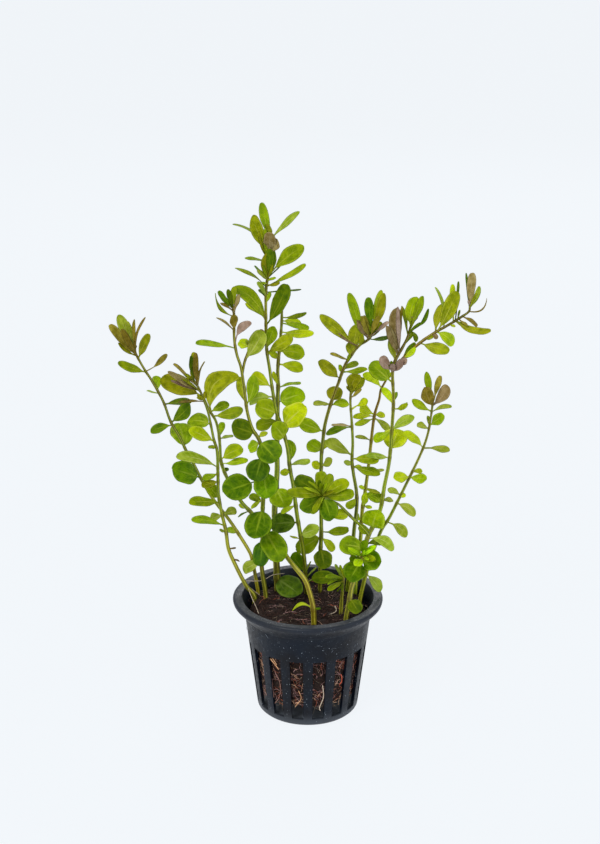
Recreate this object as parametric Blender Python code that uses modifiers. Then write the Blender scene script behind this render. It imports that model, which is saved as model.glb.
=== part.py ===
"""A bunch of dwarf rotala stems with their leaves, planted in a coir plug that sits in a round net pot."""

from collections import namedtuple
import math

import bmesh
import bpy
from mathutils import Vector

# Every size below is in millimetres, and this makes metres of it.
MM = 0.001

# Touching pieces keep this much air between them.
GAP = 0.3

# The pot stands on the ground with its axis upright through the origin. Below the flat ring of its
# rim a hollow skirt, given by radius and height, draws in to the tapering wall.
POT_HEIGHT = 43.9
RIM_RADIUS = 27.5
RIM_INNER_RADIUS = 24.0
RIM_EDGE = 0.6
SKIRT = ((27.3, 42.2), (25.9, 40.6), (24.0, 38.4))
WALL_TOP = 37.6
WALL_TOP_RADIUS = 23.15
BASE_RADIUS = 18.7
BASE_CORNER = 0.9
WALL = 1.2
FLOOR = 1.4
POT_SIDES = 32

# Upright slots run round the wall.
SLOT_COUNT = 16
SLOT_TOP = 27.6
SLOT_BOTTOM = 2.9
SLOT_TOP_WIDTH = 5.0
SLOT_BOTTOM_WIDTH = 4.3
SLOT_TURN = 11.25
SLOT_INNER_REACH = 14.5
SLOT_OUTER_REACH = 30.0

# The plug is wedged in the pot above the floor, and its top falls away towards the wall.
PLUG_TOP = 40.2
PLUG_TOP_RADIUS = 19.6
PLUG_SHOULDER = 37.2
PLUG_BOTTOM = 8.0
PLUG_SIDES = 21
PLANTING_DEPTH = 3.0
HOLE_SIDES = 5

# A round leaf is widest near its middle, and a narrow one nearer its tip.
ROUND_SHARE = 0.55
ROUND_SKEW = 0.92
ROUND_FULLNESS = 0.52
NARROW_SKEW = 1.35
NARROW_FULLNESS = 0.54
LEAF_THICKNESS = 0.5
STALK_HALF_WIDTH = 0.3
FOLD = 0.1

# A stem ends in a small bud.
BUD_LENGTH = 0.8
BUD_RADIUS = 0.25

# A leaf at least this wide is a piece of its own, and a slim one has three sides.
OWN_PIECE_WIDTH = 5.1
SLIM_WIDTH = 1.7
WIDE_STATIONS = (0.0, 0.16, 0.4, 0.66, 0.88, 1.0)
PLAIN_STATIONS = (0.0, 0.36, 0.8, 1.0)
SLIM_STATIONS = (0.0, 0.35, 0.78, 1.0)

# A leaf leans this many times its listed depth, up to this share of the length that is seen.
DEPTH_GAIN = 1.8
MOST_GAINED = 0.9

# The routes and leaves below are as they look from here: this point is in front of the pot and above it.
EYE = Vector((-2.86, -518.0, 296.1))

# A leaf is given where it is seen from the front, in millimetres on the upright plane through the
# pot's axis: foot (x, z) on its stem and tip (x, z). Then come the width that the viewer sees, how
# much farther away the tip is than the foot before the gain above, the turn of the blade about its
# own length in degrees, how far its middle is pushed to the left of the line from foot to tip, its
# colour, and the share of its length that is stalk.
Leaf = namedtuple("Leaf", "x0 z0 x1 z1 seen away turn bow tint stalk", defaults=(0.12,))

# A stem is a route of (x, z, depth) points from the plug up, on the same plane, where depth is how
# far behind the plane the point really is. Its radius runs from the first value to the second.
Stem = namedtuple("Stem", "name radius route leaves")

FAR_LEFT = Stem("far_left", (0.75, 0.5), (
    (-18.2, 45.5, 8), (-20.2, 57.7, 9), (-21.0, 60.8, 9), (-24.6, 67.5, 10), (-28.3, 73.7, 11),
    (-33.7, 81.5, 12), (-37.3, 88.0, 13), (-40.5, 95.0, 13.5), (-43.0, 100.0, 14),
    (-45.4, 105.6, 14), (-48.4, 111.4, 14), (-50.8, 118.9, 14), (-54.8, 127.0, 14),
    (-56.5, 129.8, 14), (-59.0, 134.6, 14), (-60.3, 137.5, 14),
), (
    Leaf(-59.3, 135.5, -68.5, 146.8, 3.2, -3, 35, 0.6, "olive"),
    Leaf(-59.6, 136.5, -65.2, 150.4, 4.2, 3, 0, 0, "olive"),
    Leaf(-60.0, 137.0, -64.5, 145.2, 2.6, -1, 30, 0.3, "bronze"),
    Leaf(-60.3, 137.4, -59.8, 148.8, 1.3, 2, 60, -0.4, "bronze"),
    Leaf(-59.3, 135.6, -56.0, 149.5, 0.9, -2, 65, 0.8, "bronze"),
    Leaf(-59.0, 134.6, -54.9, 143.5, 3.2, -3, 20, 0, "fresh"),
    Leaf(-56.5, 129.5, -66.2, 133.0, 3.2, -3, 30, 0.6, "mid"),
    Leaf(-56.4, 130.0, -49.0, 136.3, 2.0, 3, 50, -0.4, "bronze", 0.3),
    Leaf(-52.6, 122.6, -53.0, 128.4, 3.4, 5, 20, 0, "yellow"),
    Leaf(-52.1, 121.8, -56.4, 122.9, 0.7, 2, 65, 0, "pale"),
    Leaf(-50.6, 117.8, -41.0, 119.0, 2.8, 3, 40, 0.3, "olive"),
    Leaf(-48.4, 111.0, -41.3, 117.8, 5.0, -2, 15, -0.4, "mid"),
    Leaf(-48.0, 110.0, -55.6, 107.8, 3.6, 2, 25, 0, "mid"),
    Leaf(-43.6, 101.4, -45.4, 110.8, 8.4, 5, 10, 0, "mid"),
    Leaf(-38.3, 90.2, -48.4, 93.6, 8.2, -6, 15, 0, "mid"),
    Leaf(-25.3, 68.6, -29.6, 70.5, 2.6, 2, 40, 0, "mid"),
))

LEFT = Stem("left", (0.85, 0.45), (
    (-19.6, 43.6, 4.4), (-22.6, 47.8, 4.6), (-26.8, 57.0, 5), (-28.8, 62.5, 5), (-29.6, 69.2, 5),
    (-31.0, 76.5, 5), (-32.0, 83.3, 5), (-32.1, 92.0, 5), (-32.3, 100.7, 5.5),
    (-33.3, 104.5, 6), (-34.2, 109.7, 6.5), (-35.2, 115.0, 7), (-37.9, 123.1, 7.5), (-40.1, 127.0, 8),
), (
    Leaf(-39.9, 126.6, -39.7, 137.0, 2.8, 2, 30, -0.3, "olive"),
    Leaf(-39.7, 126.2, -40.9, 135.6, 2.2, -2, 35, 0.3, "deep"),
    Leaf(-38.4, 124.0, -36.0, 133.6, 0.9, 3, 65, 0.5, "bronze"),
    Leaf(-38.2, 123.6, -46.8, 132.8, 1.4, 3, 55, 0.2, "bronze"),
    Leaf(-37.8, 122.6, -49.0, 129.8, 2.4, -8, 30, 0.3, "pink"),
    Leaf(-37.2, 120.8, -51.6, 127.0, 7.2, -2, 10, -0.5, "olive"),
    Leaf(-36.4, 118.9, -45.6, 118.6, 1.2, 1, 60, 0, "bronze"),
    Leaf(-34.3, 110.3, -42.4, 111.6, 5.6, 2, 20, -0.8, "mid"),
    Leaf(-33.1, 103.8, -42.0, 108.4, 4.8, -3, 15, -0.3, "fresh"),
    Leaf(-32.5, 102.0, -35.4, 101.6, 1.5, -1, 40, 0, "mid"),
    Leaf(-32.2, 94.0, -46.8, 98.4, 4.2, -2, 25, -1.0, "pale"),
    Leaf(-32.1, 91.6, -37.6, 89.6, 2.6, -2, 30, 0, "mid"),
    Leaf(-32.1, 88.6, -38.0, 86.8, 3.2, -3, 25, 0, "deep"),
    Leaf(-31.9, 82.0, -36.0, 88.0, 4.2, 1, 20, 0, "olive"),
    Leaf(-31.7, 80.4, -42.7, 80.8, 3.8, -2, 30, 0, "mid"),
    Leaf(-31.0, 75.6, -35.4, 74.2, 3.6, 3, 15, 0, "pale"),
    Leaf(-31.0, 75.8, -25.8, 77.8, 3.4, 3, 15, 0, "pale"),
    Leaf(-30.2, 71.4, -42.0, 73.8, 3.0, -3, 40, -0.6, "blue"),
    Leaf(-29.6, 69.0, -32.0, 69.9, 1.2, -1, 30, 0, "deep"),
    Leaf(-28.8, 62.4, -26.0, 62.8, 0.7, -1, 0, 0, "bark"),
    Leaf(-27.2, 58.0, -24.8, 57.4, 0.7, -1, 0, 0.3, "bark"),
))

LEFT_FRONT = Stem("left_front", (1.05, 0.5), (
    (2.3, 33.4, -15.8), (1.8, 40.2, -15.2), (-0.2, 48.0, -13.8), (-1.3, 50.5, -12.8), (-6.8, 58.0, -7),
    (-12.0, 66.0, -1), (-17.0, 72.5, 3), (-20.5, 76.8, 3.5), (-24.0, 81.0, 2.5), (-28.6, 89.5, 0.8),
    (-30.9, 96.2, 0), (-31.2, 102.2, 0), (-31.5, 106.4, 0), (-32.5, 111.6, 0), (-34.5, 115.3, 0),
    (-36.2, 119.4, 0),
), (
    Leaf(-33.9, 113.8, -24.6, 129.0, 7.6, -3, 10, 5.2, "olive"),
    Leaf(-34.3, 115.0, -27.8, 118.2, 3.4, 2, 20, 0, "mid"),
    Leaf(-33.4, 113.6, -22.8, 115.8, 4.2, -2, 15, -0.7, "fresh"),
    Leaf(-31.4, 105.4, -30.2, 111.2, 2.6, 3, 20, 0, "fresh"),
    Leaf(-31.3, 105.0, -26.4, 106.2, 1.3, 2, 45, 0, "pale"),
    Leaf(-30.9, 97.0, -23.2, 101.4, 5.2, -2, 10, 0.6, "fresh"),
    Leaf(-30.7, 95.4, -21.4, 96.7, 2.6, -3, 35, 0, "yellow"),
    Leaf(-29.8, 92.2, -28.8, 94.0, 2.0, 1, 20, 0, "deep"),
    Leaf(-21.2, 77.8, -24.6, 80.0, 1.7, 3, 30, 0, "olive"),
    Leaf(-20.9, 77.4, -25.2, 75.0, 0.8, 2, 55, 0, "bronze"),
    Leaf(1.9, 38.2, -5.7, 37.6, 1.5, 2, 30, -1.9, "fresh"),
    Leaf(2.0, 38.4, 4.7, 38.4, 0.9, -1, 20, 0, "yellow"),
))

MID_LEFT = Stem("mid_left", (0.9, 0.5), (
    (-15.4, 44.4, 5.6), (-16.8, 55.0, 4.5), (-16.6, 62.0, 2), (-16.2, 70.0, -1), (-16.3, 77.0, -3),
    (-16.0, 84.0, -5), (-16.0, 92.0, -6), (-16.3, 98.0, -7), (-17.2, 104.2, -8), (-19.7, 108.8, -9),
    (-21.4, 115.1, -9.5), (-22.2, 122.0, -10), (-23.4, 131.4, -11), (-24.8, 136.2, -11.5),
    (-25.6, 142.0, -12), (-25.5, 150.0, -12.5), (-26.0, 153.5, -13),
), (
    Leaf(-25.9, 152.8, -25.2, 160.4, 2.4, 2, 25, 0, "mid"),
    Leaf(-25.9, 152.8, -27.7, 159.3, 1.9, -2, 35, 0.2, "deep"),
    Leaf(-25.9, 152.4, -30.8, 158.8, 2.0, 1, 40, 0.5, "mid"),
    Leaf(-25.6, 149.8, -31.9, 158.0, 1.3, -3, 55, 1.8, "deep"),
    Leaf(-25.7, 151.5, -30.2, 154.4, 1.0, -1, 60, 0, "bronze"),
    Leaf(-25.6, 150.5, -23.4, 157.6, 1.5, -2, 50, 0, "pink"),
    Leaf(-25.6, 144.8, -25.6, 150.4, 2.8, -3, 10, 0, "bronze"),
    Leaf(-25.6, 144.6, -31.6, 149.4, 0.9, 2, 65, 0, "bronze"),
    Leaf(-25.4, 139.4, -19.7, 147.8, 2.8, -2, 20, 1.8, "pink", 0.3),
    Leaf(-25.3, 138.2, -39.0, 140.2, 2.3, -4, 40, -0.8, "fresh", 0.2),
    Leaf(-21.7, 117.6, -24.0, 128.0, 3.2, 3, 25, 0.5, "olive"),
    Leaf(-21.6, 117.4, -18.6, 128.3, 4.5, -3, 20, -0.5, "mid"),
    Leaf(-18.8, 106.6, -27.0, 110.0, 7.2, -7.5, 8, 0, "deep"),
    Leaf(-17.4, 104.2, -11.0, 96.8, 9.0, -4, 8, 0, "deep"),
    Leaf(-17.2, 103.4, -21.0, 101.0, 4.2, 3, 20, 0, "fresh"),
    Leaf(-17.8, 105.2, -14.6, 107.6, 2.0, 2, 35, 0, "pale"),
    Leaf(-16.3, 98.2, -18.9, 88.8, 8.4, -4, 10, 0, "deep"),
    Leaf(-16.0, 93.6, -14.6, 82.2, 8.8, -4, 8, 0, "mid"),
    Leaf(-16.0, 89.8, -30.4, 84.6, 9.4, -4, 8, 0, "deep", 0.3),
    Leaf(-16.1, 82.0, -20.4, 78.4, 1.6, 2, 45, 0, "pale"),
    Leaf(-16.1, 80.5, -20.8, 83.6, 3.0, 3, 20, 0, "deep"),
    Leaf(-16.3, 78.6, -19.4, 66.4, 9.8, -7, 8, 0, "mid"),
    Leaf(-16.2, 70.8, -9.3, 57.4, 9.0, -7, 8, 0, "fresh", 0.2),
    Leaf(-16.4, 66.5, -17.4, 55.4, 6.6, -3, 15, 0, "blue"),
    Leaf(-17.0, 57.5, -23.6, 53.8, 4.4, 3, 20, 0, "pale"),
))

MID_LEFT_FORK = Stem("mid_left_fork", (0.5, 0.42), (
    (-22.3, 132.6, -9.5), (-21.6, 135.0, -9), (-21.0, 136.8, -8.6), (-20.3, 138.8, -8.2),
), (
    Leaf(-21.8, 134.4, -15.6, 144.6, 6.0, -1, 10, -0.4, "pink"),
    Leaf(-20.5, 138.6, -23.8, 141.0, 3.8, 3, 10, 0, "yellow"),
))

TALL = Stem("tall", (0.9, 0.5), (
    (-0.5, 45.8, 9), (-1.0, 54.0, 8), (-1.5, 60.0, 7), (-2.4, 66.0, 5), (-3.9, 75.5, 3),
    (-5.3, 87.2, 0.5), (-6.4, 93.4, 0), (-7.4, 101.9, -1.5), (-9.2, 109.1, -2.5),
    (-11.0, 114.5, -3.5), (-12.4, 122.5, -4), (-13.4, 130.5, -5), (-14.4, 138.0, -5),
    (-14.6, 150.0, -6), (-14.4, 160.0, -6.5), (-13.5, 166.0, -7), (-13.3, 172.5, -7),
    (-12.8, 177.0, -7),
), (
    Leaf(-13.0, 176.0, -15.8, 189.4, 3.2, 2, 15, 0, "mid"),
    Leaf(-13.4, 172.2, -18.7, 185.2, 4.4, -2, 10, 0.8, "fresh"),
    Leaf(-13.3, 172.0, -10.5, 176.8, 3.8, -3, 10, 0, "rose"),
    Leaf(-12.9, 176.4, -2.9, 186.2, 2.2, -2, 40, 0.7, "mid"),
    Leaf(-13.2, 174.5, -25.6, 182.0, 1.0, 2, 60, -0.8, "mid"),
    Leaf(-13.4, 169.0, -21.6, 170.3, 1.1, -2, 55, 0, "mid"),
    Leaf(-13.9, 163.5, -1.5, 174.4, 5.2, -3, 12, 1.0, "mid", 0.25),
    Leaf(-14.0, 162.0, -14.5, 172.0, 2.8, -2, 25, 0.3, "fresh"),
    Leaf(-13.9, 162.5, -12.2, 173.6, 3.2, 3, 20, -0.3, "deep"),
    Leaf(-14.4, 160.2, -25.0, 166.8, 1.1, -3, 55, -0.6, "mid"),
    Leaf(-13.9, 163.6, -18.4, 167.6, 0.9, 2, 60, 0, "mid"),
    Leaf(-14.1, 162.4, -17.5, 166.0, 1.5, -2, 45, 0, "pale"),
    Leaf(-14.3, 160.4, -0.8, 168.0, 2.2, -3, 45, 0, "fresh", 0.2),
    Leaf(-14.5, 157.0, -17.4, 162.0, 1.8, -2, 30, 0, "olive"),
    Leaf(-14.5, 156.4, -17.1, 159.2, 0.8, 1, 55, 0, "deep"),
    Leaf(-14.4, 158.4, -2.4, 159.3, 0.7, 2, 60, 0, "deep"),
    Leaf(-14.6, 147.0, -25.6, 160.2, 4.8, -2, 20, -2.4, "mid"),
    Leaf(-14.6, 149.5, -21.5, 154.6, 1.6, 2, 45, 0, "yellow"),
    Leaf(-14.5, 146.6, -7.3, 161.2, 5.4, -2, 12, -0.6, "deep"),
    Leaf(-14.4, 138.0, -11.6, 146.2, 4.0, -2, 15, 0.2, "deep"),
    Leaf(-14.5, 144.0, -16.8, 145.0, 1.0, 0, 30, 0, "pink"),
    Leaf(-14.3, 136.6, -5.3, 142.4, 4.6, -3, 15, 0, "fresh"),
    Leaf(-12.6, 124.2, -19.3, 129.2, 4.4, 2, 20, 0.4, "fresh"),
    Leaf(-12.2, 120.4, -20.6, 118.6, 4.0, 5, 25, -0.6, "pale"),
    Leaf(-11.0, 114.4, -18.4, 117.4, 7.6, -2, 10, 0, "fresh"),
    Leaf(-10.2, 111.8, -18.2, 109.8, 4.6, 3, 15, 0, "deep"),
    Leaf(-9.3, 109.4, -1.2, 117.2, 8.0, -3, 10, 0, "yellow"),
    Leaf(-8.4, 105.0, -12.4, 110.8, 6.6, -4, 10, 0, "fresh"),
    Leaf(-8.5, 105.8, -7.4, 109.8, 1.6, 2, 30, 0, "deep"),
    Leaf(-6.7, 95.8, -7.2, 104.6, 3.6, 3, 25, -1.0, "mid"),
    Leaf(-6.6, 95.0, 0.8, 96.2, 2.2, -3, 45, 0.3, "olive"),
    Leaf(-6.3, 93.2, -9.8, 91.5, 2.6, -1, 20, 0, "yellow"),
    Leaf(-4.4, 79.5, -9.6, 76.4, 2.0, -2, 35, 0, "pale"),
    Leaf(-3.5, 72.8, -13.6, 72.2, 7.4, 3, 15, 0, "blue"),
    Leaf(-2.7, 67.8, 4.0, 70.6, 4.8, -2, 15, 0, "olive"),
    Leaf(-2.4, 66.3, -6.6, 67.5, 0.8, 1, 50, 0, "yellow"),
    Leaf(-0.9, 53.0, -5.8, 60.4, 5.0, -3, 15, 0, "deep"),
))

TALL_BACK = Stem("tall_back", (1.4, 0.5), (
    (-11.0, 47.2, 12), (-11.5, 58.0, 12), (-11.8, 70.0, 12), (-12.0, 77.0, 11), (-11.6, 84.0, 10),
    (-11.0, 93.0, 9), (-11.0, 100.0, 8.5), (-10.8, 110.0, 8), (-10.7, 119.2, 7), (-10.5, 125.0, 7),
    (-10.6, 130.6, 7), (-10.0, 138.0, 7), (-9.2, 147.3, 7), (-9.1, 155.0, 7),
), (
    Leaf(-9.1, 151.5, -8.3, 155.4, 1.4, -1, 30, 0, "yellow"),
    Leaf(-9.1, 149.4, -0.6, 150.9, 1.8, -3, 40, -0.4, "mid"),
    Leaf(-9.2, 148.2, -2.4, 147.4, 3.0, 2, 20, 0, "fresh"),
    Leaf(-9.2, 147.4, 0.3, 145.4, 2.4, -2, 35, 0.3, "mid"),
    Leaf(-9.5, 144.2, 1.9, 143.6, 3.2, -4, 20, -0.5, "yellow"),
    Leaf(-10.3, 134.2, -13.6, 137.4, 2.4, 1, 25, 0, "fresh"),
    Leaf(-10.1, 137.2, -1.2, 136.0, 5.6, -3, 12, 0.4, "mid"),
    Leaf(-10.5, 132.6, -1.8, 131.0, 4.0, 2, 15, 0, "pale"),
    Leaf(-10.5, 124.8, -12.4, 129.8, 1.8, -2, 30, 0, "fresh"),
    Leaf(-10.5, 124.0, -2.5, 125.7, 1.3, 1, 55, 0, "pale"),
    Leaf(-10.7, 118.4, -1.2, 121.8, 7.4, 2, 15, 0.3, "mid"),
    Leaf(-11.4, 86.4, -8.0, 78.6, 8.4, -4, 10, 0, "mid"),
    Leaf(-11.2, 50.6, -2.8, 44.2, 9.0, -13, 10, 0, "blue", 0.1),
))

MID_RIGHT = Stem("mid_right", (0.85, 0.5), (
    (4.5, 46.8, 11), (4.5, 60.0, 10), (4.8, 68.0, 9), (4.7, 80.0, 8.5), (4.7, 98.0, 8),
    (5.2, 104.0, 7.5), (6.0, 110.6, 7), (8.1, 118.6, 7), (10.5, 125.6, 6.5), (12.7, 132.0, 6),
    (14.7, 135.4, 5.5), (17.5, 139.2, 5), (21.0, 141.7, 4.5), (22.0, 143.5, 4.5),
), (
    Leaf(19.4, 140.6, 13.9, 158.2, 3.5, 3, 20, 0.4, "mid"),
    Leaf(21.8, 143.2, 20.5, 156.6, 3.3, 2, 20, 0, "deep", 0.2),
    Leaf(22.0, 143.3, 24.9, 159.2, 3.0, 4, 20, 0, "fresh", 0.2),
    Leaf(22.0, 143.3, 26.1, 158.0, 3.2, -2, 25, -0.4, "olive", 0.15),
    Leaf(21.8, 143.0, 24.6, 149.8, 2.2, -3, 30, 0, "bronze"),
    Leaf(20.6, 141.5, 16.6, 148.4, 2.0, -2, 40, 0, "pink"),
    Leaf(21.4, 142.3, 19.0, 150.2, 1.4, -1, 50, 0, "bronze"),
    Leaf(21.5, 142.4, 27.7, 147.8, 1.6, -3, 40, 0, "pink", 0.35),
    Leaf(21.0, 141.7, 28.3, 142.8, 1.6, 2, 45, -0.8, "deep"),
    Leaf(17.0, 138.8, 3.9, 150.2, 3.9, -3, 15, 0, "olive"),
    Leaf(15.0, 136.2, 17.0, 147.0, 5.0, 3, 10, 0, "olive"),
    Leaf(14.6, 135.2, 14.9, 140.9, 3.0, 2, 20, 0.3, "olive"),
    Leaf(13.8, 134.0, 7.6, 136.4, 1.3, -2, 50, 0.2, "bronze"),
    Leaf(13.2, 133.0, 14.6, 136.2, 1.3, -1, 30, 0, "mid"),
    Leaf(11.0, 127.2, 3.4, 133.6, 4.4, -3, 20, 0, "mid"),
    Leaf(11.7, 129.2, 10.8, 132.4, 1.6, 1, 30, 0, "fresh"),
    Leaf(11.9, 129.6, 20.6, 130.6, 2.2, -3, 40, -0.3, "mid"),
    Leaf(12.2, 130.6, 17.3, 133.2, 2.4, 3, 25, 0, "mid"),
    Leaf(8.2, 118.8, 10.2, 124.4, 5.8, 3, 8, 0, "fresh"),
    Leaf(7.8, 117.6, 1.8, 118.0, 2.0, -2, 40, -0.4, "pale"),
    Leaf(7.8, 117.4, 14.2, 118.2, 3.2, 2, 25, 0.2, "mid"),
    Leaf(5.6, 107.6, -3.5, 111.4, 5.2, -3, 15, 0, "mid"),
    Leaf(4.9, 100.4, 0.0, 103.8, 5.2, 2, 15, 0.3, "fresh"),
    Leaf(4.9, 100.2, 6.6, 104.6, 2.2, 2, 30, -0.3, "yellow"),
    Leaf(4.7, 94.6, 8.6, 96.9, 3.2, -3, 20, 0, "mid"),
    Leaf(4.7, 94.4, 1.3, 95.4, 3.2, -2, 15, 0, "mid"),
    Leaf(4.8, 69.2, 14.7, 69.9, 3.4, -5, 25, -0.2, "deep", 0.2),
    Leaf(4.7, 67.6, -4.3, 62.2, 6.4, 1, 15, 0.4, "blue"),
    Leaf(4.7, 67.2, 9.6, 61.8, 3.4, 2, 20, 0, "fresh"),
    Leaf(4.5, 63.0, 6.2, 54.4, 6.8, -5, 10, 0, "deep"),
))

RIGHT_SLIM = Stem("right_slim", (0.85, 0.5), (
    (14.5, 46.8, 11), (16.0, 58.0, 10), (16.6, 69.1, 8), (17.5, 79.0, 5), (17.3, 85.0, 4.5),
    (16.2, 91.5, 4), (15.6, 97.0, 3), (15.8, 103.0, 3), (15.4, 110.6, 2), (14.8, 118.6, 1.5),
    (14.9, 122.3, 1),
), (
    Leaf(14.9, 121.4, 17.6, 128.8, 4.8, -2, 10, 1.0, "bronze"),
    Leaf(14.9, 121.2, 19.3, 127.6, 3.2, 2, 25, 0, "olive"),
    Leaf(14.9, 120.2, 18.6, 123.6, 1.4, -2, 40, 0, "fresh"),
    Leaf(15.0, 115.8, 21.0, 119.2, 2.8, -2, 25, 0.3, "fresh", 0.35),
    Leaf(15.4, 109.4, 6.4, 106.4, 2.4, -3, 35, -0.8, "mid"),
    Leaf(15.4, 109.8, 8.2, 110.2, 1.3, 2, 55, 0, "pink"),
    Leaf(15.7, 98.4, 6.3, 104.0, 4.4, -3, 20, -0.5, "mid"),
    Leaf(15.7, 97.4, 25.2, 96.8, 3.8, -4, 25, 0, "mid"),
    Leaf(15.8, 95.0, 12.8, 96.5, 2.0, 1, 30, 0, "mid"),
    Leaf(15.9, 94.6, 19.6, 93.8, 1.8, 2, 35, 0, "yellow"),
    Leaf(15.9, 94.2, 25.6, 91.2, 3.4, -3, 30, 0, "mid"),
    Leaf(17.4, 82.4, 14.2, 78.2, 3.2, -3, 20, 0, "mid"),
))

RIGHT_BACK = Stem("right_back", (0.85, 0.5), (
    (17.4, 46.2, 9.6), (18.1, 56.0, 12), (19.0, 66.0, 14), (19.5, 77.3, 14), (20.4, 84.7, 14),
    (21.5, 94.6, 14), (22.3, 104.0, 14), (23.0, 111.5, 14), (23.6, 115.1, 14), (24.9, 119.7, 14),
    (25.4, 123.1, 14.5), (27.3, 127.0, 15),
), (
    Leaf(25.6, 123.6, 19.0, 128.8, 3.4, -3, 20, -1.0, "yellow"),
    Leaf(23.4, 114.0, 18.2, 116.6, 3.8, -3, 10, 0, "yellow"),
    Leaf(23.4, 113.8, 27.0, 114.0, 2.4, 2, 20, 0, "olive"),
    Leaf(23.3, 113.4, 15.8, 113.2, 2.4, 2, 30, 0, "pale"),
    Leaf(23.1, 112.6, 16.5, 110.0, 2.2, -2, 35, 0, "mid"),
    Leaf(23.1, 112.8, 28.8, 107.8, 2.6, -2, 30, 0.4, "pale"),
    Leaf(22.3, 104.0, 16.6, 105.6, 1.4, -2, 45, -0.3, "pale"),
    Leaf(21.3, 92.6, 27.1, 93.2, 1.2, 2, 50, 0, "pale"),
    Leaf(20.6, 86.4, 18.2, 86.5, 1.6, -1, 30, 0, "yellow"),
    Leaf(19.8, 79.0, 21.2, 84.4, 2.8, -3, 15, 0, "yellow"),
    Leaf(19.6, 79.4, 23.0, 78.4, 1.4, -1, 30, 0, "yellow"),
    Leaf(19.3, 73.4, 16.8, 75.8, 2.4, -2, 20, 0, "olive"),
))

RIGHT_MAIN = Stem("right_main", (1.0, 0.65), (
    (14.2, 34.6, -13.4), (15.2, 41.0, -13), (16.3, 48.0, -12), (18.0, 53.0, -11), (20.6, 62.0, -9),
    (21.6, 67.0, -7.5), (23.8, 72.0, -6), (26.0, 77.8, -4), (27.3, 87.0, -2), (28.8, 96.0, 0),
    (29.5, 108.0, 2), (29.9, 118.9, 3), (29.4, 128.0, 3.5), (29.4, 130.6, 4),
), (
    Leaf(29.5, 125.6, 21.6, 133.0, 6.4, 3, 12, 0, "mid", 0.2),
    Leaf(29.4, 130.2, 25.0, 135.2, 3.8, -2, 15, 0.3, "rose"),
    Leaf(29.7, 117.6, 26.0, 124.0, 2.8, 2, 25, 0, "yellow"),
    Leaf(29.8, 118.0, 30.9, 122.4, 1.5, 3, 20, 0, "mid"),
    Leaf(29.8, 116.2, 34.9, 118.0, 2.3, -2, 35, -0.5, "mid", 0.25),
    Leaf(29.5, 108.0, 37.4, 113.2, 3.6, -2, 20, 0.5, "yellow"),
    Leaf(29.5, 107.4, 23.3, 104.0, 3.4, -2, 20, -0.6, "fresh"),
    Leaf(29.1, 100.2, 32.0, 108.6, 8.6, 5, 8, 0, "yellow"),
    Leaf(28.8, 97.6, 20.6, 98.6, 2.4, -3, 35, 0, "pale"),
    Leaf(26.8, 83.4, 20.8, 85.6, 1.5, -1, 45, -0.3, "olive"),
    Leaf(26.5, 81.2, 30.4, 81.6, 2.0, 4, 30, 0, "pale"),
    Leaf(26.3, 80.2, 21.5, 84.4, 4.2, 2, 15, -0.5, "mid"),
    Leaf(23.0, 70.4, 25.0, 77.8, 8.4, -4, 8, 0, "mid"),
    Leaf(21.9, 68.0, 18.6, 71.6, 3.2, 2, 20, 0, "olive"),
    Leaf(21.5, 66.2, 31.0, 61.8, 3.8, -4, 25, 1.6, "pale", 0.15),
    Leaf(21.1, 64.4, 26.8, 65.2, 2.8, 3, 25, 0, "deep"),
    Leaf(20.6, 62.4, 11.4, 64.0, 7.0, -1, 12, -0.5, "mid"),
    Leaf(20.2, 60.0, 21.0, 66.0, 2.8, -4, 20, 0, "olive"),
    Leaf(20.1, 60.2, 24.6, 63.4, 2.0, -5, 25, 0, "fresh"),
    Leaf(20.0, 59.4, 14.6, 62.4, 2.4, -6, 20, 0, "yellow"),
    Leaf(20.0, 59.4, 24.4, 57.9, 3.0, -8, 10, 0, "fresh"),
    Leaf(19.8, 58.8, 17.4, 55.6, 3.4, -9, 10, 0, "yellow"),
    Leaf(19.6, 58.8, 15.2, 58.0, 2.6, -3, 20, 0, "deep"),
    Leaf(19.4, 57.6, 26.8, 57.4, 7.4, -3, 10, 0, "mid"),
    Leaf(19.3, 57.2, 15.0, 49.6, 8.4, -6, 8, 0, "mid"),
    Leaf(15.5, 42.6, 18.8, 36.6, 5.4, -3, 10, 0, "olive", 0.15),
))

RIGHT_CROWN = Stem("right_crown", (0.6, 0.45), (
    (29.6, 132.2, 4.6), (31.0, 135.6, 4.8), (32.5, 138.4, 5), (34.3, 142.3, 5.5), (35.0, 145.0, 6),
    (35.6, 147.5, 6),
), (
    Leaf(31.2, 136.0, 30.1, 152.8, 4.6, -2, 15, 0.4, "pink"),
    Leaf(32.0, 137.4, 27.2, 146.0, 3.2, -3, 25, 0.2, "pink"),
    Leaf(30.2, 133.4, 28.4, 142.0, 3.0, 2, 25, 0, "olive"),
    Leaf(34.4, 142.8, 32.1, 153.6, 1.5, 2, 50, 0, "deep"),
    Leaf(35.2, 146.0, 36.9, 156.8, 4.4, -1, 12, 0.8, "fresh"),
    Leaf(35.4, 146.6, 39.4, 157.0, 2.8, -3, 30, -0.6, "mid"),
    Leaf(35.0, 144.6, 41.4, 152.4, 1.7, -2, 40, -1.4, "deep", 0.3),
    Leaf(34.9, 144.2, 39.2, 147.8, 0.8, 2, 55, 0, "deep"),
    Leaf(34.9, 144.8, 37.3, 140.6, 1.6, -3, 35, 0.6, "deep"),
    Leaf(32.6, 138.6, 36.2, 144.2, 1.6, 2, 40, 0, "olive"),
))

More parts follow.
